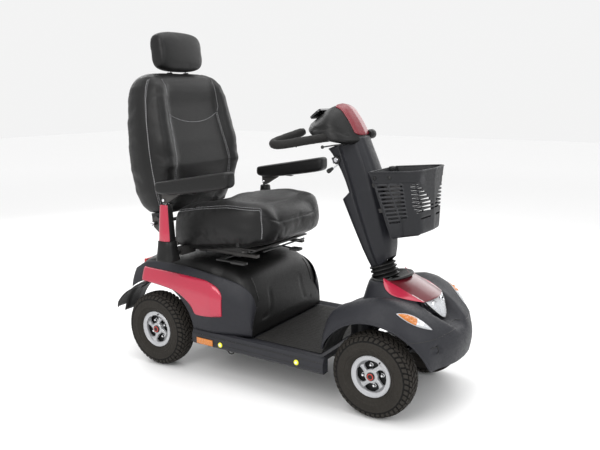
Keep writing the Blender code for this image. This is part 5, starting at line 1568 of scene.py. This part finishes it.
def bend(rows, t):
    """Like table, on a smooth curve through the rows."""
    if t <= rows[0][0]:
        return rows[0][1]
    for k in range(len(rows) - 1):
        (t0, v0), (t1, v1) = rows[k], rows[k + 1]
        if t <= t1:
            before, after = rows[max(k - 1, 0)], rows[min(k + 2, len(rows) - 1)]
            low = (v1 - before[1]) / (t1 - before[0])
            high = (after[1] - v0) / (after[0] - t0)
            u, span = (t - t0) / (t1 - t0), t1 - t0
            start = (2 * u**3 - 3 * u**2 + 1) * v0 + (u**3 - 2 * u**2 + u) * span * low
            return start + (3 * u**2 - 2 * u**3) * v1 + (u**3 - u**2) * span * high
    return rows[-1][1]


def panel_x(y, z, top):
    """How far the side panel stands out: it widens behind its front edge and rolls in at the top."""
    along = max(0.0, min(1, (y - 0.046) / 0.16))
    up = max(0.0, min(1, (z - (top - 0.09)) / 0.09))
    return 0.252 + 0.04 * along**0.7 - 0.03 * up**2


def make_shroud():
    """The hump under the seat, with a panel line in front, its small fittings and the rear lamps."""
    mesh = bmesh.new()
    rows = []
    for u in evenly(0, 1, 84):
        y = 0.044 + 0.596 * u**1.7
        top, low = bend(SHROUD_TOP, y), table(SHROUD_LOW, y)
        arc = [(power(cos(a), 0.36), power(sin(a), 0.3)) for a in evenly(0, pi, 110)]
        rows.append([(-0.245 * across, y, low + (top - low) * up) for across, up in arc])
    # The front face is drawn down to the floor, and the rear one closes towards its middle.
    front, last = rows[0], rows[-1]
    rows = [
        [(x, 0.0435, 0.189 + (z - 0.189) * s) for x, _, z in front] for s in (0.05, 0.3, 0.6, 0.85)
    ] + rows
    for s, out in ((0.97, 0.004), (0.85, 0.006), (0.4, 0.007)):
        rows.append([(x * s, 0.64 + out, 0.345 + (z - 0.345) * s) for x, _, z in last])
    skin(mesh, rows)
    shroud = piece("rear_shroud_body", mesh, PLASTIC_BLACK, smooth=70)
    tree = surface_of(shroud)

    def on_front(x, z):
        return cast(tree, (x, -0.2, z), (0, 1, 0), Vector((x, 0.044, z)))

    line = [(-x, z) for x, z in SHROUD_LINE] + SHROUD_LINE[-2::-1]
    groove(shroud, [smooth_path([on_front(x, z) for x, z in line], 8)], 0.005, 0.003)
    thicken(shroud, 0.003)
    settle(shroud, "chassis", "rear_shroud")

    mesh = bmesh.new()
    for side in (-1, 1):
        vent = [on_front(side * x, z) + Vector((0, -0.0002, 0)) for x, z in VENT]
        sweep(mesh, smooth_path(vent, 4), 0.0022, 10, rounded=True)
    # Ring seal round the seat post.
    lathe(
        mesh, (0, SEAT_POST_Y, 0.45), (0, 0, 1),
        [(0.046, 0.0), (0.046, 0.007), (0.042, 0.009), (0.034, 0.009), (0.034, 0.0)], 48,
    )
    piece("shroud_details", mesh, SATIN_BLACK, "chassis")
    mesh = bmesh.new()
    for side in (-1, 1):
        for y in (0.46, 0.56):
            hit = cast(tree, (side * 0.1, y, 0.6), (0, 0, -1))
            lathe(
                mesh, hit, (0, 0, 1), [(0.0065, -0.001), (0.0065, 0.0015), (0.0045, 0.003), (0.0018, 0.0032)],
                18,
            )
    piece("shroud_screws", mesh, STEEL, "chassis")
    mesh = bmesh.new()
    for side in (-1, 1):
        box_at(mesh, (side * 0.15 - 0.045, 0.634, 0.372), (side * 0.15 + 0.045, 0.65, 0.408), 0.004)
    piece("rear_lights", mesh, RED_LENS, "chassis")


TRIM_FROM, TRIM_SPAN = 0.16, 0.4
# A mudflap's section: (x, how far its edge lips move it in, out from the arch).
FLAP = (
    (0.222, 1, -0.006), (0.2225, 1, 0.0), (0.24, 0, 0.0012), (0.261, 0, 0.0018), (0.282, 0, 0.0012),
    (0.2995, -1, 0.0), (0.3, -1, -0.006),
)


def make_rear_sides():
    """Side panels cut round the wheels, their gloss trims, mudflaps and wheel arch liners."""
    for name, side in SIDES:
        knife_mesh = bmesh.new()
        lathe(knife_mesh, (side * 0.15, REAR_AXLE_Y, AXLE_Z), (side, 0, 0), [(0.205, 0), (0.205, 0.2)], 120)
        knife = piece(f"rear_knife_{name}", knife_mesh, PLASTIC_GREY)

        mesh = bmesh.new()
        rows = []
        for u in evenly(0, 1, 72):
            y = 0.046 + 0.576 * u**1.25
            top = bend(PANEL_TOP, y)
            levels = [0.1945 + (top - 0.1945) * v**0.8 for v in evenly(0, 1, 33)]
            rows.append([(side * panel_x(y, z, top), y, z) for z in levels])
        rows.insert(0, [(x - side * 0.01, y + 0.003, z) for x, y, z in rows[0]])
        skin(mesh, rows)
        panel = piece(f"rear_panel_{name}_body", mesh, PLASTIC_GREY, smooth=55)
        thicken(panel, 0.003, -1 if side > 0 else 1)
        add_modifier(panel, "BOOLEAN", operation="DIFFERENCE", solver="EXACT", object=knife)
        baked(panel)
        settle(panel, "chassis", f"rear_panel_{name}")

        mesh = bmesh.new()
        rows = []
        for k in range(61):
            y = TRIM_FROM + TRIM_SPAN * (k / 60) ** 1.15
            top, low = bend(TRIM_TOP, y), max(bend(TRIM_LOW, y), 0.245)
            crease = 0.27 + (0.331 - 0.27) * (y - TRIM_FROM) / 0.24
            row = []
            for j in range(23):
                z = low + (top - low) * j / 22
                below = max(0.0, crease - z) * (1 - ease(0.38, 0.44, y))
                edge = 0.0035 * (2 - min(1.0, min(j, 22 - j) / 1.5) - min(1.0, k / 1.5))
                x = panel_x(y, z, bend(PANEL_TOP, y)) + 0.0055 - 0.08 * below - edge
                row.append((side * x, y, z))
            rows.append(row)
        skin(mesh, rows)
        trim = piece(f"rear_trim_{name}_gloss", mesh, RED, smooth=14)
        thicken(trim, 0.0025, -1 if side > 0 else 1)
        settle(trim, "chassis", f"rear_trim_{name}")
        bpy.data.objects.remove(knife)

        mesh = bmesh.new()
        rows = []
        for k in range(29):
            angle = 79 - 65 * k / 28
            r = 0.198 + 0.034 * max(0.0, (50 - angle) / 36)
            edge = 0.0 if k < 26 else 0.01 * (k - 25) / 3
            y, z = cos(radians(angle)), sin(radians(angle))
            rows.append(
                [
                    (side * (x + edge * inward), REAR_AXLE_Y + (r + lip) * y, AXLE_Z + (r + lip) * z)
                    for x, inward, lip in FLAP
                ]
            )
        skin(mesh, rows)
        flap = piece(f"rear_mudflap_{name}", mesh, PLASTIC_BLACK, "chassis", smooth=40)
        thicken(flap, 0.0028, 0)

        # Wheel-side liner between the panel and the shroud.
        mesh = bmesh.new()
        rows = []
        for a in evenly(radians(12), radians(158), 40):
            y, z = REAR_AXLE_Y + 0.2015 * cos(a), AXLE_Z + 0.2015 * sin(a)
            rows.append([(side * x, y, z) for x in (0.175, 0.21, 0.245, 0.276)])
        skin(mesh, rows)
        liner = piece(f"rear_arch_liner_{name}", mesh, PLASTIC_BLACK, "chassis")
        thicken(liner, 0.002, 0)


def make_floor_details():
    """Ribbed mat, lines along the sills, and the reflectors, caps and tie-down loops on them."""
    mesh = bmesh.new()
    box_at(mesh, (-0.24, -0.25, 0.1845), (0.24, 0.04, 0.1872), 0.0008)
    for x in evenly(-0.225, 0.45, 30):
        box_at(mesh, (x - 0.0022, -0.238, 0.187), (x + 0.0022, 0.03, 0.1878), 0.0003)
    piece("floor_mat_ribbed", mesh, MAT, "chassis", "floor_mat")

    groove_mesh, amber, yellow, loop = (bmesh.new() for _ in range(4))
    for side in (-1, 1):
        for z, r in ((0.177, 0.0011), (0.153, 0.0009)):
            sweep(groove_mesh, [(side * 0.298, y, z) for y in (-0.288, -0.1, 0.1, 0.296)], r, 8)
        x = side * 0.2985
        near, far = sorted((x, x + side * 0.0035))
        box_at(amber, (near, 0.196, 0.14), (far, 0.275, 0.164), 0.0012)
        for y, z in ((0.16, 0.153), (-0.184, 0.159)):
            lathe(
                yellow, (side * 0.2975, y, z), (side, 0, 0),
                [(0.0098, 0), (0.0098, 0.0028), (0.0086, 0.004), (0.005, 0.004)], 28, 0,
            )
            lathe(
                yellow, (side * 0.2975, y, z), (side, 0, 0),
                [(0.0046, 0.003), (0.0046, 0.0052), (0.003, 0.006)], 20, 1,
            )
        arc = [(cos(radians(angle)), sin(radians(angle))) for angle in range(180, 361, 15)]
        sweep(
            loop, [(side * 0.285, 0.12 + 0.016 * c, 0.136 + 0.014 * s) for c, s in arc], 0.0022, 10,
            rounded=True,
        )
    piece("sill_grooves", groove_mesh, SATIN_BLACK, "chassis")
    piece("side_reflectors", amber, AMBER_REFLECTOR, "chassis")
    piece("sill_caps", yellow, [YELLOW, WHITE_PLASTIC], "chassis")
    piece("tie_down_loops", loop, SATIN_BLACK, "chassis")


make_shroud()
make_rear_sides()
make_floor_details()


# ---- tiller
# The column covers at each height, in the column's frame: (z, front y, rear y, half width).
COLUMN = [
    (0.03, -0.05, 0.032, 0.044), (0.06, -0.06, 0.036, 0.052), (0.105, -0.072, 0.042, 0.057),
    (0.2, -0.084, 0.052, 0.06), (0.296, -0.091, 0.061, 0.06), (0.299, -0.091, 0.06, 0.06),
    (0.315, -0.092, 0.023, 0.0585), (0.358, -0.094, 0.025, 0.057), (0.4, -0.092, 0.031, 0.056),
    (0.44, -0.089, 0.041, 0.055), (0.47, -0.087, 0.05, 0.054), (0.49, -0.086, 0.06, 0.054),
]


def column_row(z):
    return [table([(row[0], row[i]) for row in COLUMN], z) for i in (1, 2, 3)]


def make_column():
    levels = evenly(0.03, 0.46, 64) + [0.296, 0.299, 0.303, 0.308, 0.315]  # closer at the step
    for name, sign in (("front", -1), ("rear", 1)):
        mesh = bmesh.new()
        rows = []
        for z in sorted(levels):
            front, rear, half = column_row(z)
            depth = -front if sign < 0 else rear
            row = []
            for a in evenly(0, pi, 36):
                x = half * power(cos(a), 0.5)
                y = sign * (0.0005 + depth * power(sin(a), 0.62))
                # A ridge runs down between the side and the front face.
                ridge = 0.0022 * exp(-(((abs(cos(a)) - 0.8) / 0.1) ** 2)) if sign < 0 else 0.0
                # The lower end is cut higher in front and lower behind.
                lift = 0.016 * ease(0.0, 0.9, sin(a)) if sign < 0 else -0.004 * sin(a)
                swell = 1 + ridge / 0.05
                row.append((x * swell, y * swell, z + lift * ease(0.1, 0.03, z)))
            rows.append(row)
        skin(mesh, rows)
        mesh.transform(COLUMN_FRAME)
        cover = piece(f"column_{name}_shell", mesh, COLUMN_GREY, smooth=34)
        thicken(cover, 0.0028, -1 if sign > 0 else 1)
        settle(cover, "tiller", f"column_cover_{name}")

    # Parting line between the two covers, and the screws that join them.
    mesh = bmesh.new()
    for side in (-1, 1):
        line = [(side * (column_row(z)[2] + 0.0002), 0.0, z) for z in evenly(0.04, 0.44, 30)]
        sweep(mesh, line, 0.0009, 8)
    for z in (0.15, 0.36):
        for x in (-0.03, 0.03):
            rear = column_row(z)[1]
            lathe(
                mesh, (x, rear * 0.985, z), (0, 1, 0),
                [(0.0055, -0.002), (0.0055, 0.0012), (0.004, 0.0018), (0.0036, 0.0006)], 18,
            )
    mesh.transform(COLUMN_FRAME)
    piece("column_seam", mesh, SATIN_BLACK, "tiller")


# Side profile of the console: (y, z) round from the rear bottom edge.
CONSOLE = [
    (-0.08, 0.986), (-0.074, 0.965), (-0.098, 0.945), (-0.16, 0.932), (-0.225, 0.916), (-0.28, 0.913),
    (-0.298, 0.928), (-0.288, 0.952), (-0.272, 0.98), (-0.25, 1.012), (-0.222, 1.044), (-0.192, 1.0535),
    (-0.16, 1.043), (-0.12, 1.016),
]


# What the profile shrinks to at each distance from the middle: along y, and in height.
CONSOLE_REACH = [(0, 1.0), (0.04, 0.94), (0.07, 0.82), (0.09, 0.68), (0.1, 0.59), (0.11, 0.47), (0.118, 0.33)]
CONSOLE_TALL = [
    (0, 1.0), (0.03, 0.975), (0.05, 0.925), (0.07, 0.82), (0.09, 0.68), (0.1, 0.58), (0.11, 0.45),
    (0.118, 0.24),
]
CONSOLE_Y, CONSOLE_Z = -0.19, 0.935


def console_section(x):
    line = smooth_path([(x, y, z) for y, z in [*CONSOLE, CONSOLE[0]]], 5)[:-1]
    reach, tall = table(CONSOLE_REACH, abs(x)), table(CONSOLE_TALL, abs(x))
    return [
        Vector((x, CONSOLE_Y + (p.y - CONSOLE_Y) * reach, CONSOLE_Z + (p.z - CONSOLE_Z) * tall)) for p in line
    ]


VISOR_HALF = 0.052
VISOR_FROM, VISOR_TO = 34, 56  # its ends, as points of the console's profile


def make_console():
    """The console with its gloss visor, a lug, and the panel's marks and speed dial."""
    mesh = bmesh.new()
    stations = [0.118 * sin(pi / 2 * k / 22) for k in range(-22, 23)]
    rows = [console_section(x) for x in stations]
    solid(mesh, rows)
    console = piece("console_shell", mesh, PLASTIC_BLACK, smooth=60)
    tree = surface_of(console)

    def on_side(side, y, z):
        return cast(tree, (side * 0.3, y, z), (-side, 0, 0), Vector((side * 0.1, y, z)))

    crease = ((-0.14, 0.968), (-0.175, 0.97), (-0.208, 0.9705), (-0.24, 0.96), (-0.264, 0.948))
    creases = [smooth_path([on_side(side, y, z) for y, z in crease], 6) for side in (-1, 1)]
    groove(console, creases, 0.006, 0.0035)
    settle(console, "tiller", "console")

    # Glossy visor over the top and down the front.
    mesh = bmesh.new()
    rows = []
    for k in range(25):
        x = VISOR_HALF * (k / 12 - 1)
        line = console_section(x)
        taper = 2.2 * (abs(x) / VISOR_HALF) ** 4
        strip = []
        for j in range(31):
            at = VISOR_FROM + taper + (VISOR_TO - VISOR_FROM - 2 * taper) * j / 30
            low = int(at)
            p = line[low].lerp(line[(low + 1) % len(line)], at - low)
            out = (p - Vector((x, CONSOLE_Y, 0.975))).normalized()
            out.x = 0.25 * x / VISOR_HALF
            rim = min(1.0, min(k, 24 - k) / 1.5, min(j, 30 - j) / 1.5)
            strip.append(p + out.normalized() * (0.0012 + 0.0036 * rim))
        rows.append(strip)
    skin(mesh, rows)
    visor = piece("console_visor", mesh, RED_VISOR, smooth=50)
    thicken(visor, 0.0016)
    settle(visor, "tiller", "console_trim")

    # Lug beside the visor's lower end, on the left.
    mesh = bmesh.new()
    rows = []
    lug = (
        (0.04, 0.012, 0.013), (0.052, 0.017, 0.017), (0.07, 0.0175, 0.0175), (0.076, 0.014, 0.014),
        (0.078, 0.008, 0.008),
    )
    for x, reach, tall in lug:
        rows.append([(x, -0.284 + reach * cos(a), 0.947 + tall * sin(a)) for a in arcs(24)])
    solid(mesh, rows)
    piece("console_lug", mesh, PLASTIC_BLACK, "tiller", smooth=60)

    # Printed marks on the panel: a speed scale round the dial, a charge row and button symbols.
    panel = Matrix.Translation((0, -0.113, 1.0205)) @ Matrix.Rotation(-radians(38), 4, "X")
    dial = panel @ Matrix.Translation((0, -0.004, 0))
    mesh = bmesh.new()
    for k in range(9):
        a = radians(-45 + 33.75 * k)
        at = dial @ Matrix.Rotation(a, 4, "Z")
        box_at(mesh, (0.015, -0.0005, 0.0029), (0.016 + 0.0004 * k, 0.0005, 0.00325), 0, 0, at)
    for k in range(6):
        low, high = (-0.02 + 0.0072 * k, 0.0175, 0.0029), (-0.015 + 0.0072 * k, 0.021, 0.0033)
        box_at(mesh, low, high, 0, 1 if k < 2 else 2, panel)
    for side in (-1, 1):
        arrow = [(side * 0.043, 0.007), (side * 0.043, 0.013), (side * 0.049, 0.01)]
        prism(mesh, arrow, 0.0004, panel @ Matrix.Translation((0, 0, 0.00585)))
    piece("panel_marks", mesh, [PRINT, RED_LENS, YELLOW], "tiller")
    mesh = bmesh.new()
    lathe(
        mesh, panel @ Vector((0, -0.004, 0.003)), panel.to_3x3() @ Vector((0, 0, 1)),
        [(0.0135, 0), (0.0135, 0.0022), (0.0122, 0.003), (0.0118, 0.0062), (0.0108, 0.008), (0.006, 0.0085)],
        40,
    )
    for a in arcs(14):
        at = panel @ Matrix.Translation((0, -0.004, 0.003)) @ Matrix.Rotation(a, 4, "Z")
        box_at(mesh, (0.0112, -0.0007, 0.0032), (0.0126, 0.0007, 0.0072), 0.0004, 0, at)
    box_at(mesh, (-0.0006, 0.003, 0.011), (0.0006, 0.0105, 0.0118), 0.0002, 1, dial)
    piece("speed_dial_knob", mesh, [SATIN_BLACK, PRINT], "speed_dial", "speed_dial")


PADDLE = [(0.116, -0.25, 0.917), (0.124, -0.236, 0.9155), (0.132, -0.216, 0.912), (0.141, -0.2, 0.9092)]
# Half of the handlebar, from its middle round to its end.
GRIP = [
    (0, -0.218, 0.942), (0.055, -0.214, 0.942), (0.11, -0.188, 0.939), (0.165, -0.14, 0.93),
    (0.204, -0.098, 0.921), (0.225, -0.07, 0.917), (0.228, -0.049, 0.918), (0.21, -0.038, 0.923),
    (0.17, -0.046, 0.933), (0.125, -0.06, 0.944), (0.088, -0.072, 0.953),
]


def make_controls():
    """Handlebar, drive lever, key switch and tilt lever."""
    line = even(mirrored(smooth_path(GRIP, 7)), 0.0075)
    mesh = bmesh.new()
    sweep(mesh, line, 0.0155, 28, rounded=True)
    grip = piece("handlebar_foam", mesh, FOAM, smooth=60)
    # The foam's surface is a little uneven.
    for v in grip.data.vertices:
        v.co.z += 0.0004 * sin(v.co.x * 190) * cos(v.co.y * 160)
    settle(grip, "tiller", "handlebar")
    # End caps, and moulding nibs underneath.
    mesh = bmesh.new()
    for side in (-1, 1):
        tip, back = (Vector((side * x, y, z)) for x, y, z in (GRIP[-1], GRIP[-2]))
        out = (tip - back).normalized()
        lathe(
            mesh, tip + out * 0.0085, out,
            [(0.0128, 0.0), (0.0128, 0.0058), (0.0112, 0.007), (0.01, 0.0068), (0.0096, 0.004)], 28,
        )
        for x, y, z in ((0.188, -0.116, 0.909), (0.15, -0.052, 0.922)):
            lathe(
                mesh, (side * x, y, z + 0.002), (0, 0, -1),
                [(0.003, -0.003), (0.003, 0.0022), (0.002, 0.0034)], 12,
            )
    piece("handlebar_ends", mesh, SATIN_BLACK, "tiller")

    # Finger lever under the handlebar: a bar with a dipped, ball-ended paddle at each side.
    mesh = bmesh.new()
    bar = [(x, -0.25, 0.917 + 0.0005 * cos(x * 30)) for x in (-0.122, -0.08, -0.04, 0, 0.04, 0.08, 0.122)]
    sweep(mesh, bar, 0.0034, 12, rounded=True)
    for side in (-1, 1):
        sweep(mesh, smooth_path([(side * x, y, z) for x, y, z in PADDLE], 5), 0.0042, 14, flat=0.62)
        lathe(
            mesh, (side * 0.1435, -0.1965, 0.9085), (0, 0, 1),
            [(0.0015, -0.0062), (0.0046, -0.0046), (0.0062, 0.0), (0.0046, 0.0046), (0.0015, 0.0062)], 20,
        )
    piece("drive_lever_paddles", mesh, SATIN_BLACK, "drive_lever", "drive_lever")

    # Key switch: a dark boss and a chrome ring. The key is the CAD's.
    mesh = bmesh.new()
    at = COLUMN_FRAME @ Vector((-0.0555, 0.026, 0.44))
    out = COLUMN_FRAME.to_3x3() @ Vector((-1, 0.1, 0.05))
    lathe(mesh, at, out, [(0.016, -0.014), (0.016, 0.0025), (0.0146, 0.005), (0.0105, 0.0054)], 36, 0)
    lathe(
        mesh, at, out,
        [(0.0098, 0.003), (0.0098, 0.0064), (0.0088, 0.008), (0.0072, 0.0082), (0.0068, 0.0066)], 36, 1,
    )
    piece("key_switch", mesh, [SATIN_BLACK, CHROME], "tiller")

    # Tilt lever: a thin stem out of the rear cover and a pear-shaped knob.
    start, bend_at, end = Vector((-0.016, 0.026, 0.431)), Vector(
        (-0.016, 0.058, 0.4235)
    ), Vector((-0.016, 0.082, 0.4175))
    mesh = bmesh.new()
    sweep(mesh, [COLUMN_FRAME @ p for p in smooth_path([start, bend_at, end], 5)], 0.003, 12, index=1)
    aim = COLUMN_FRAME.to_3x3() @ (end - bend_at)
    lathe(
        mesh, COLUMN_FRAME @ (end - (end - bend_at).normalized() * 0.01), aim,
        [
            (0.004, 0), (0.0056, 0.002), (0.0064, 0.008), (0.0086, 0.017), (0.009, 0.022), (0.0078, 0.0275),
            (0.004, 0.03),
        ],
        24, 0,
    )
    piece("tilt_lever_knob", mesh, [SATIN_BLACK, STEEL], "tilt_lever", "tilt_lever")
    mesh = bmesh.new()
    lathe(
        mesh, COLUMN_FRAME @ Vector((-0.016, 0.035, 0.429)), COLUMN_FRAME.to_3x3() @ Vector((0, 1, -0.25)),
        [(0.0105, -0.004), (0.0105, 0.0015), (0.0085, 0.004), (0.005, 0.006), (0.004, 0.0066)], 24,
    )
    piece("tilt_lever_boot", mesh, GAITER, "tiller")


make_column()
make_console()
make_controls()


# ---- basket
BASKET_DEPTH = 0.222
BASKET_HANG = Matrix.Translation((0, -0.366, 0.8265)) @ Matrix.Rotation(-radians(4.5), 4, "X")


FLOOR_Y = -0.135
BASKET_MIDDLE = Vector((0, -0.1, 0))
HALF_STEPS = 96  # steps along half of a ring
SLOT_TOP, SLOT_PITCH, SLOT_ROWS = 0.046, 0.01365, 10


def floor_drop(y):
    """What the basket's floor falls by towards the front."""
    return 0.014 * (y + 0.1) / 0.08


def basket_ring(t, out=0.0):
    """A ring of the basket in even steps from the rear middle. t is 0 at the floor and 1 at the rim."""
    rear, corner, front = -0.053 + 0.053 * t, -0.15 - 0.014 * t, -0.181 - 0.013 * t
    hr, hf = 0.088 + 0.024 * t, 0.1 + 0.028 * t
    right = [
        (0, rear), (0.9 * hr, rear), (hr, rear - 0.01), ((hr + hf) / 2, (rear + corner) / 2),
        (hf, corner + 0.034),
    ]
    right += [
        (0.975 * hf, corner + 0.006), (0.84 * hf, corner - 0.018), (0.48 * hf, front + 0.006), (0, front)
    ]
    line = smooth_path([(x, y, 0) for x, y in right], 8)
    lengths = [0.0]
    for a, b in zip(line, line[1:]):
        lengths.append(lengths[-1] + (b - a).length)
    half = []
    for want in evenly(0, lengths[-1], HALF_STEPS):
        i = max(1, next((i for i, done in enumerate(lengths) if done >= want), len(lengths) - 1))
        u = (want - lengths[i - 1]) / max(1e-6, lengths[i] - lengths[i - 1])
        half.append(line[i - 1].lerp(line[i], u))
    ring = half + [Vector((-p.x, p.y, 0)) for p in reversed(half[1:-1])]
    found = []
    for p in ring:
        place = Vector((p.x, p.y, -(1 - t) * (BASKET_DEPTH + floor_drop(p.y))))
        found.append(place + (p - BASKET_MIDDLE).normalized() * out)
    return found


def basket_open(f, z):
    """True where the wall is open. f runs from 0 at the rear middle to 1 at the front middle."""
    row = (-SLOT_TOP - z) / SLOT_PITCH
    k = int(row)
    if row < 0 or k >= SLOT_ROWS or row - k > 0.56:
        return False
    side_bar = 0.415 + 0.007 * k
    if 0.3 + 0.004 * k < f < side_bar or side_bar + 0.02 < f < 0.575:
        return k < 9 or f < side_bar
    if k < 8 and 0.645 + 0.016 * max(0, k - 5) < f < min(0.985, 0.72 + 0.044 * k):
        return True
    return k == 9 and 0.72 < f < 0.93


def make_basket():
    # Levels at the top, middle and bottom of each row of slots, and at the rim's steps.
    drops = [SLOT_TOP + SLOT_PITCH * k + down for k in range(SLOT_ROWS) for down in (0, 0.0038, 0.00764)]
    levels = sorted({0.0, 0.04, *[1 - drop / BASKET_DEPTH for drop in drops], 0.832, 0.838, 0.9, 0.97, 1.0})
    mesh = bmesh.new()

    def band(low, high, open_at=lambda i: False):
        """Faces between two rings, left out where it is open."""
        for i in range(len(low)):
            j = (i + 1) % len(low)
            if not open_at(i):
                mesh.faces.new((low[i], low[j], high[j], high[i]))

    rings = []
    for t in levels:
        step = 0.0022 if t >= 0.838 else 0.0
        lip = 0.0012 if t >= 0.97 else 0.0
        rings.append([mesh.verts.new(p) for p in basket_ring(t, step + lip)])
    for t0, t1, low, high in zip(levels, levels[1:], rings, rings[1:]):
        z = -BASKET_DEPTH * (1 - (t0 + t1) / 2)
        band(low, high, lambda i: basket_open(min(i + 0.5, 2 * HALF_STEPS - i - 0.5) / HALF_STEPS, z))
    # Rounded foot and a floor with drain slots.
    foot = []
    for v in rings[0]:
        inward = Vector((-v.co.x * 0.05, (FLOOR_Y - v.co.y) * 0.05, -0.006))
        foot.append(mesh.verts.new(v.co + inward))
    band(foot, rings[0])
    inner = foot
    for s in (0.86, 0.84, 0.62, 0.6, 0.38, 0.36, 0.12):
        places = [
            (v.co.x * s, FLOOR_Y + (v.co.y - FLOOR_Y) * s, -BASKET_DEPTH - 0.0062 - floor_drop(v.co.y))
            for v in foot
        ]
        ring = [mesh.verts.new(place) for place in places]
        slotted = s in (0.84, 0.6, 0.36)
        band(ring, inner, lambda i: slotted and i % 12 > 2)
        inner = ring
    mesh.faces.new(inner)
    mesh.transform(BASKET_HANG)
    basket = piece("basket_shell", mesh, BASKET_GREY, smooth=42)
    thicken(basket, 0.0028)
    add_modifier(basket, "BEVEL", width=0.0007, segments=1)
    settle(basket, "tiller", "basket")

    mesh = bmesh.new()
    ring = basket_ring(1.0, 0.0022)
    ring.append(ring[0].copy())
    sweep(mesh, ring, 0.003, 10)
    for i in (30, 44, 2 * HALF_STEPS - 30, 2 * HALF_STEPS - 44):
        at = basket_ring(0.915, 0.002)[i]
        out = Vector((at.x, at.y + 0.1, 0)).normalized()
        lathe(mesh, at, out, [(0.0068, -0.001), (0.0068, 0.0018), (0.0048, 0.0036), (0.0016, 0.0042)], 20, 1)
    # Latch of the mounting hook at the far side of the rim.
    box_at(mesh, (0.05, -0.012, -0.01), (0.078, 0.003, 0.0055), 0.0025, 1)
    mesh.transform(BASKET_HANG)
    piece("basket_rim", mesh, [BASKET_GREY, SATIN_BLACK], "tiller")

    # Bracket that carries the basket on the column.
    mesh = bmesh.new()
    for x in (-0.045, 0.045):
        box_at(mesh, (x - 0.006, 0.0, -0.15), (x + 0.006, 0.052, -0.135), 0.002)
        box_at(mesh, (x - 0.006, 0.0, -0.06), (x + 0.006, 0.058, -0.045), 0.002)
    box_at(mesh, (-0.06, -0.004, -0.16), (0.06, 0.003, -0.03), 0.002)
    mesh.transform(BASKET_HANG @ Matrix.Translation((0, -0.03, 0)))
    piece("basket_bracket", mesh, FRAME_PAINT, "tiller")


make_basket()


# ---- materials of the CAD nodes
SHOWN = (
    (FRAME_PAINT, "main_frame transaxle tiller_tube swivel_base backrest_hinge"),
    (PLASTIC_BLACK, "battery_pack rear_shroud console armrest_post_right armrest_post_left"),
    (PLASTIC_GREY, "floor_pan rear_panel_right rear_panel_left front_cowl bonnet"),
    (COLUMN_GREY, "column_cover_front column_cover_rear"),
    (RED, "rear_trim_right rear_trim_left bonnet_trim console_trim freewheel_lever"),
    (RED, "armrest_sleeve_right armrest_sleeve_left"),
    (STEEL, "steering_shaft knuckle_right knuckle_left track_rod seat_post"),
    (SATIN_BLACK, "tilt_lever drive_lever swivel_lever slide_lever"),
    (BUTTON, "speed_dial indicator_button_right indicator_button_left horn_button"),
    (VINYL, "seat_cushion backrest_cushion headrest armrest_pad_right armrest_pad_left"),
    (AMBER, "indicator_right indicator_left"),
    (MAT, "floor_mat"),
    (LENS, "headlight"),
    (GAITER, "gaiter"),
    (CHROME, "ignition_key"),
    (SCREEN, "control_panel"),
    (FOAM, "handlebar"),
    (BASKET_GREY, "basket"),
    (RUBBER, "tyre_front_right tyre_front_left tyre_rear_right tyre_rear_left"),
    (ALLOY, "rim_front_right rim_front_left rim_rear_right rim_rear_left"),
)
for look, names in SHOWN:
    for name in names.split():
        data = NODES[name].data
        data.materials.clear()
        data.materials.append(look)
